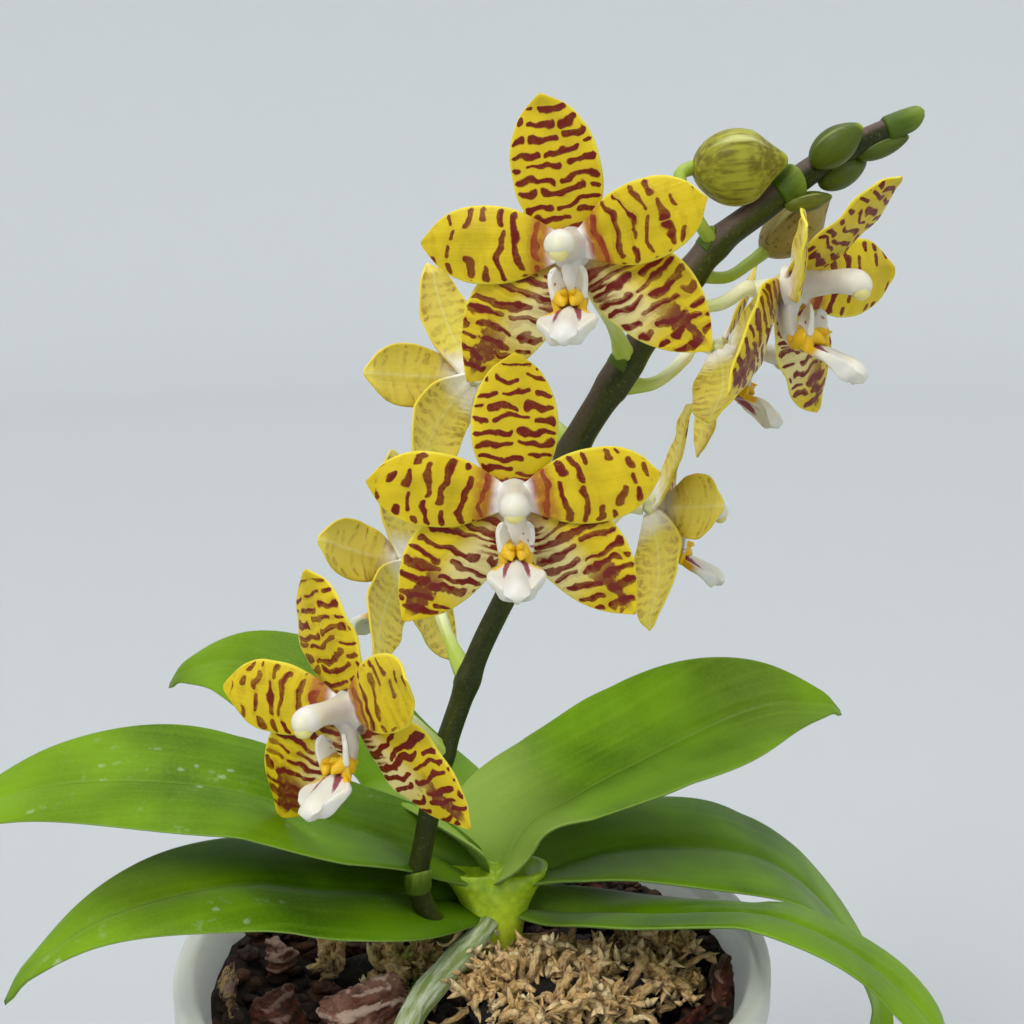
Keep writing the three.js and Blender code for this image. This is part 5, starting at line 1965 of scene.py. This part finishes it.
CHIPS = (
    Chip(1, 8, 1.0), Chip(2, -14, 0.1), Chip(3, 30, 0.5), Chip(4, 80, 0.3, 1.0), Chip(5, -30, 0.3),
    Chip(6, 33, 0.0), Chip(7, 84, 0.15), Chip(8, 20, 0.5), Chip(9, 10, 0.2), Chip(10, -35, 0.7),
    Chip(11, 50, 0.3), Chip(12, 42, 0.7), Chip(13, 4, 0.2), Chip(14, -25, 0.5),
)


@dataclass(frozen=True)
class PottingMix:
    """The plug of mix in the pot, with crumb and small bits of bark on its top."""

    crumbs: int = 520
    seed: int = 11
    bank: float = 7.0

    BANKED = (0.74, 0.96)
    RELIEF = 1.2
    CRUMB_SIZES = (0.9, 2.8)

    def inner(self, height: Any) -> Any:
        """The plug's radius at a height."""
        return pot_radius(height) - WALL - 0.8

    def banked(self, reach: float) -> float:
        """How far the mix is banked up against the pot at a distance from the axis."""
        return self.bank * float(ease(reach / self.inner(MIX_TOP), *self.BANKED))

    def build(self, material: Material) -> Object:
        """Build the plug and its crumb."""
        draw = np.random.default_rng(self.seed)
        turn = circle(150)
        levels = [(0.1, 1.9), *((self.inner(z) * 0.999, z) for z in np.linspace(1.9, MIX_TOP - 1.2, 40))]
        shares = np.linspace(0.985, 0.004, 52)
        levels += [(self.inner(MIX_TOP) * share, MIX_TOP - 0.9) for share in shares]
        rings = np.array([[(r * math.cos(a), r * math.sin(a), z) for a in turn] for r, z in levels])
        top = rings[..., 2] > MIX_TOP - 1.3
        for index in np.argwhere(top):
            x, y, z = rings[tuple(index)]
            bump = noise.fractal(Vector((x * 0.22, y * 0.22, 3.0)), 0.9, 2.0, 4)
            bump = min(max(bump * 1.5, -self.RELIEF), self.RELIEF)
            rings[tuple(index)][2] = z + bump + self.banked(math.hypot(x, y))
        draft = Draft()
        draft.shell(rings)
        for _ in range(self.crumbs):
            reach = math.sqrt(draw.uniform(0, 0.93)) * self.inner(MIX_TOP)
            angle = draw.uniform(0, 2 * math.pi)
            size = draw.uniform(*self.CRUMB_SIZES)
            size = size * np.array((draw.uniform(0.8, 1.6), 1, draw.uniform(0.4, 0.8)))
            level = MIX_TOP - 0.1 + self.banked(reach)
            self.crumb(draft, draw, np.array((reach * math.cos(angle), reach * math.sin(angle), level)), size)
        return draft.make("mix_crumb", material, Slot.MIX, "potting_mix")

    def crumb(self, draft: Draft, draw: np.random.Generator, at: Array, size: Array) -> None:
        """Add one angular crumb."""
        shape = bmesh.new()
        bmesh.ops.create_icosphere(shape, subdivisions=2, radius=1.0)
        points = np.array([v.co for v in shape.verts])
        faces = np.array([[v.index for v in f.verts] for f in shape.faces])
        shape.free()
        seed = draw.uniform(0, 90)
        bumps = np.array([noise.cell(Vector(p * 1.6) + Vector((seed, 0, 0))) for p in points])
        body = (points * (0.82 + 0.2 * bumps[:, None]) * size) @ spin(draw.uniform(0, math.pi)) + at
        draft.add(body, [faces], body, (0, 0, 0), (draw.uniform(0, 0.7) ** 2, 0, 0))


@dataclass(frozen=True)
class Pot:
    """The clouded plastic pot: one moulded shell with a turned-down lip and drainage holes."""

    holes: int = 6
    hole_radius: float = 4.0
    hole_ring: float = 29.0
    sides: int = 160

    def profile(self) -> Array:
        """The section of the shell, radius and height, from the axis round and back."""
        neck = POT_HEIGHT - 6
        hem = POT_HEIGHT - LIP_DROP
        inner_rim = RIM_RADIUS - WALL
        corners = [
            (0.05, 0), (20, 0), (FOOT_RADIUS - 1.2, 0), (FOOT_RADIUS - 0.3, 0.35), (FOOT_RADIUS, 1.3),
            *((pot_radius(z), z) for z in np.linspace(6, neck, 12)),
            (inner_rim - 0.5, POT_HEIGHT - 2.6), (inner_rim - 0.1, POT_HEIGHT - 3.0), (inner_rim, hem + 0.3),
            (inner_rim + 0.3, hem), (RIM_RADIUS - 0.3, hem), (RIM_RADIUS, hem + 0.3),
            (RIM_RADIUS, POT_HEIGHT - 1.2), (RIM_RADIUS - 0.35, POT_HEIGHT - 0.35),
            (RIM_RADIUS - 1.2, POT_HEIGHT), (RIM_RADIUS - RIM_WIDTH + 0.2, POT_HEIGHT),
            (RIM_RADIUS - RIM_WIDTH - 0.7, POT_HEIGHT - 0.7),
            (pot_radius(neck) - WALL + 0.15, POT_HEIGHT - 4),
            *((pot_radius(z) - WALL, z) for z in np.linspace(neck, 4, 12)),
            (FOOT_RADIUS - WALL - 0.3, WALL + 0.5), (FOOT_RADIUS - WALL - 1.2, WALL), (20, WALL),
            (0.05, WALL)]
        return np.array(corners)

    def build(self, material: Material) -> Object:
        """Build the pot."""
        profile = self.profile()
        turn = circle(self.sides)
        rings = stack(profile[:, :1] * np.cos(turn), profile[:, :1] * np.sin(turn), profile[:, 1:])
        high = ease(np.append(rings[..., 2].ravel(), (0, 0)), POT_HEIGHT - 12, POT_HEIGHT - 7)
        draft = Draft()
        draft.shell(rings, trait=stack(high, 0, 0))
        piece = draft.make("clear_pot_shell", material, Slot.POT, "pot")
        self.drill(piece)
        return piece

    def drill(self, piece: Object) -> None:
        """Cut the drainage holes."""
        shape = bmesh.new()
        for i in range(self.holes):
            angle = i / self.holes * 2 * math.pi
            place = Matrix.Translation(Vector((math.cos(angle), math.sin(angle), 0)) * self.hole_ring * MM)
            bmesh.ops.create_cone(shape, cap_ends=True, segments=32, radius1=self.hole_radius * MM,
                                  radius2=self.hole_radius * MM, depth=6 * WALL * MM, matrix=place)
        mesh = bpy.data.meshes.new("drill")
        shape.to_mesh(mesh)
        shape.free()
        drill = put("drill", mesh)
        cut = piece.modifiers.new("drain", "BOOLEAN")
        cut.operation = "DIFFERENCE"
        cut.object = drill
        cut.solver = "EXACT"
        graph = bpy.context.evaluated_depsgraph_get()
        bored = bpy.data.meshes.new_from_object(piece.evaluated_get(graph))
        piece.modifiers.clear()
        piece.data = bored
        bpy.data.objects.remove(drill)


@dataclass(frozen=True)
class Lamp:
    """A soft square light: where it stands, where it looks, its size, power and colour."""

    name: str
    at: Point
    aim: Point
    size: float
    power: float
    colour: tuple[float, float, float] = (1.0, 1.0, 1.0)

    def build(self) -> None:
        """Hang the light."""
        data = bpy.data.lights.new(self.name, "AREA")
        data.shape = "SQUARE"
        data.size = self.size
        data.energy = self.power
        data.color = self.colour
        way = Vector(self.aim) - Vector(self.at)
        turn = way.to_track_quat("-Z", "Y").to_matrix().to_4x4()
        put(self.name, data).matrix_world = Matrix.Translation(self.at) @ turn


@dataclass(frozen=True)
class Studio:
    """The camera, the soft lights and the plain pale ground.

    Attributes:
        eye: The camera's place, in metres.
        pitch: How far it looks down, in degrees.
        roll: How far it is turned about its view, in degrees.
        lens: Its focal length, in millimetres on a 36 mm sensor.
        lamps: The lights.
    """

    eye: Point = (0.0091, -0.2597, 0.2575)
    pitch: float = 12.87
    roll: float = -0.77
    lens: float = 49.22
    lamps: Sequence[Lamp] = (
        Lamp("key", (-1.3, -1.6, 2.3), (0, 0, 0.17), 1.3, 48.0, (1.0, 0.985, 0.96)),
        Lamp("top", (0.3, 0.5, 2.7), (0, 0, 0.15), 2.0, 34.0),
        Lamp("fill", (2.0, -1.5, 1.1), (0, 0, 0.17), 1.6, 20.0, (0.96, 0.98, 1.0)),
    )
    ground_radius: float = 1.6
    wall_height: float = 1.9
    sky: tuple[float, float, float] = (0.86, 0.90, 0.92)
    sky_strength: float = 0.53

    SENSOR_WIDTH = 36.0
    NEAREST_SEEN = 0.01
    SWEEP = 0.9

    def build(self, ground: Material) -> None:
        """Set the stage.

        Args:
            ground: The ground's finish.
        """
        data = bpy.data.cameras.new("camera")
        data.lens = self.lens
        data.sensor_width = self.SENSOR_WIDTH
        data.clip_start = self.NEAREST_SEEN
        camera = put("camera", data)
        tilt = Matrix.Rotation(math.radians(90 - self.pitch), 4, "X")
        turn = Matrix.Rotation(math.radians(self.roll), 4, "Z")
        camera.matrix_world = Matrix.Translation(self.eye) @ tilt @ turn
        bpy.context.scene.camera = camera
        for lamp in self.lamps:
            lamp.build()
        world = bpy.data.worlds.new("sky")
        world.use_nodes = True
        sky = world.node_tree.nodes["Background"]
        sky.inputs["Color"].default_value = (*self.sky, 1.0)
        sky.inputs["Strength"].default_value = self.sky_strength
        bpy.context.scene.world = world
        bpy.context.scene.view_settings.view_transform = "Standard"
        self.ground(ground)

    def ground(self, material: Material) -> None:
        """Lay the ground, a wide dish that sweeps up all round."""
        bend = np.linspace(0, math.pi / 2, 24)
        profile = [(0.001, 0.0), (0.3, 0.0), (0.8, 0.0)]
        profile += [(self.ground_radius + self.SWEEP * math.sin(a), self.SWEEP * (1 - math.cos(a)))
                    for a in bend]
        profile.append((self.ground_radius + self.SWEEP, self.wall_height))
        shape = bmesh.new()
        turn = circle(96)
        rings = [[shape.verts.new((r * math.cos(a), r * math.sin(a), z)) for a in turn] for r, z in profile]
        for low, high in zip(rings, rings[1:]):
            for i in range(len(turn)):
                j = (i + 1) % len(turn)
                shape.faces.new((low[i], low[j], high[j], high[i]))
        shape.faces.new(rings[0])
        mesh = bpy.data.meshes.new("ground")
        shape.to_mesh(mesh)
        shape.free()
        mesh.shade_smooth()
        mesh.materials.append(material)
        ground = put("ground", mesh)


def main() -> None:
    """Build every piece around the frame."""
    logging.basicConfig(level=logging.INFO, format="%(message)s")
    Studio().build(StageFinish().material())

    Pot().build(PotFinish().material())
    PottingMix().build(MixFinish().material())
    bark = BarkFinish().material()
    for chip in CHIPS:
        chip.build(bark)

    root = AerialRoot()
    crown_line = np.array([(*CROWN_AT, z) for z in np.linspace(MIX_TOP, CROWN_TOP, 20)])
    clear = [(crown_line, CROWN_RADIUS + MOSS_OFF_CROWN), (Run(root.line).at(even(60)), MOSS_OFF_ROOT)]
    moss = MossFinish().material()
    for clump in MOSS:
        clump.build(moss, clear)

    root.build(RootFinish().material())
    Crown().build(CrownFinish().material())
    green = LeafFinish().material()
    for number, leaf in enumerate(LEAVES, 1):
        leaf.build(number, green)

    spike = Spike()
    stalks = [plan.stalk for plan in (*BLOOMS, *BUDS) if plan.stalk]
    spike.build(stalks, StemFinish().material())
    yellow, white, pale = TepalFinish().material(), LipFinish().material(), StalkFinish().material()
    for number, bloom in enumerate(BLOOMS, 1):
        bloom.tepals(number, yellow)
        bloom.lip(number, white)
        bloom.pedicel(number, spike, pale)
    shut = BudFinish().material()
    for number, bud in enumerate(BUDS, 1):
        bud.build(number, spike, shut)


if __name__ == "__main__":
    main()
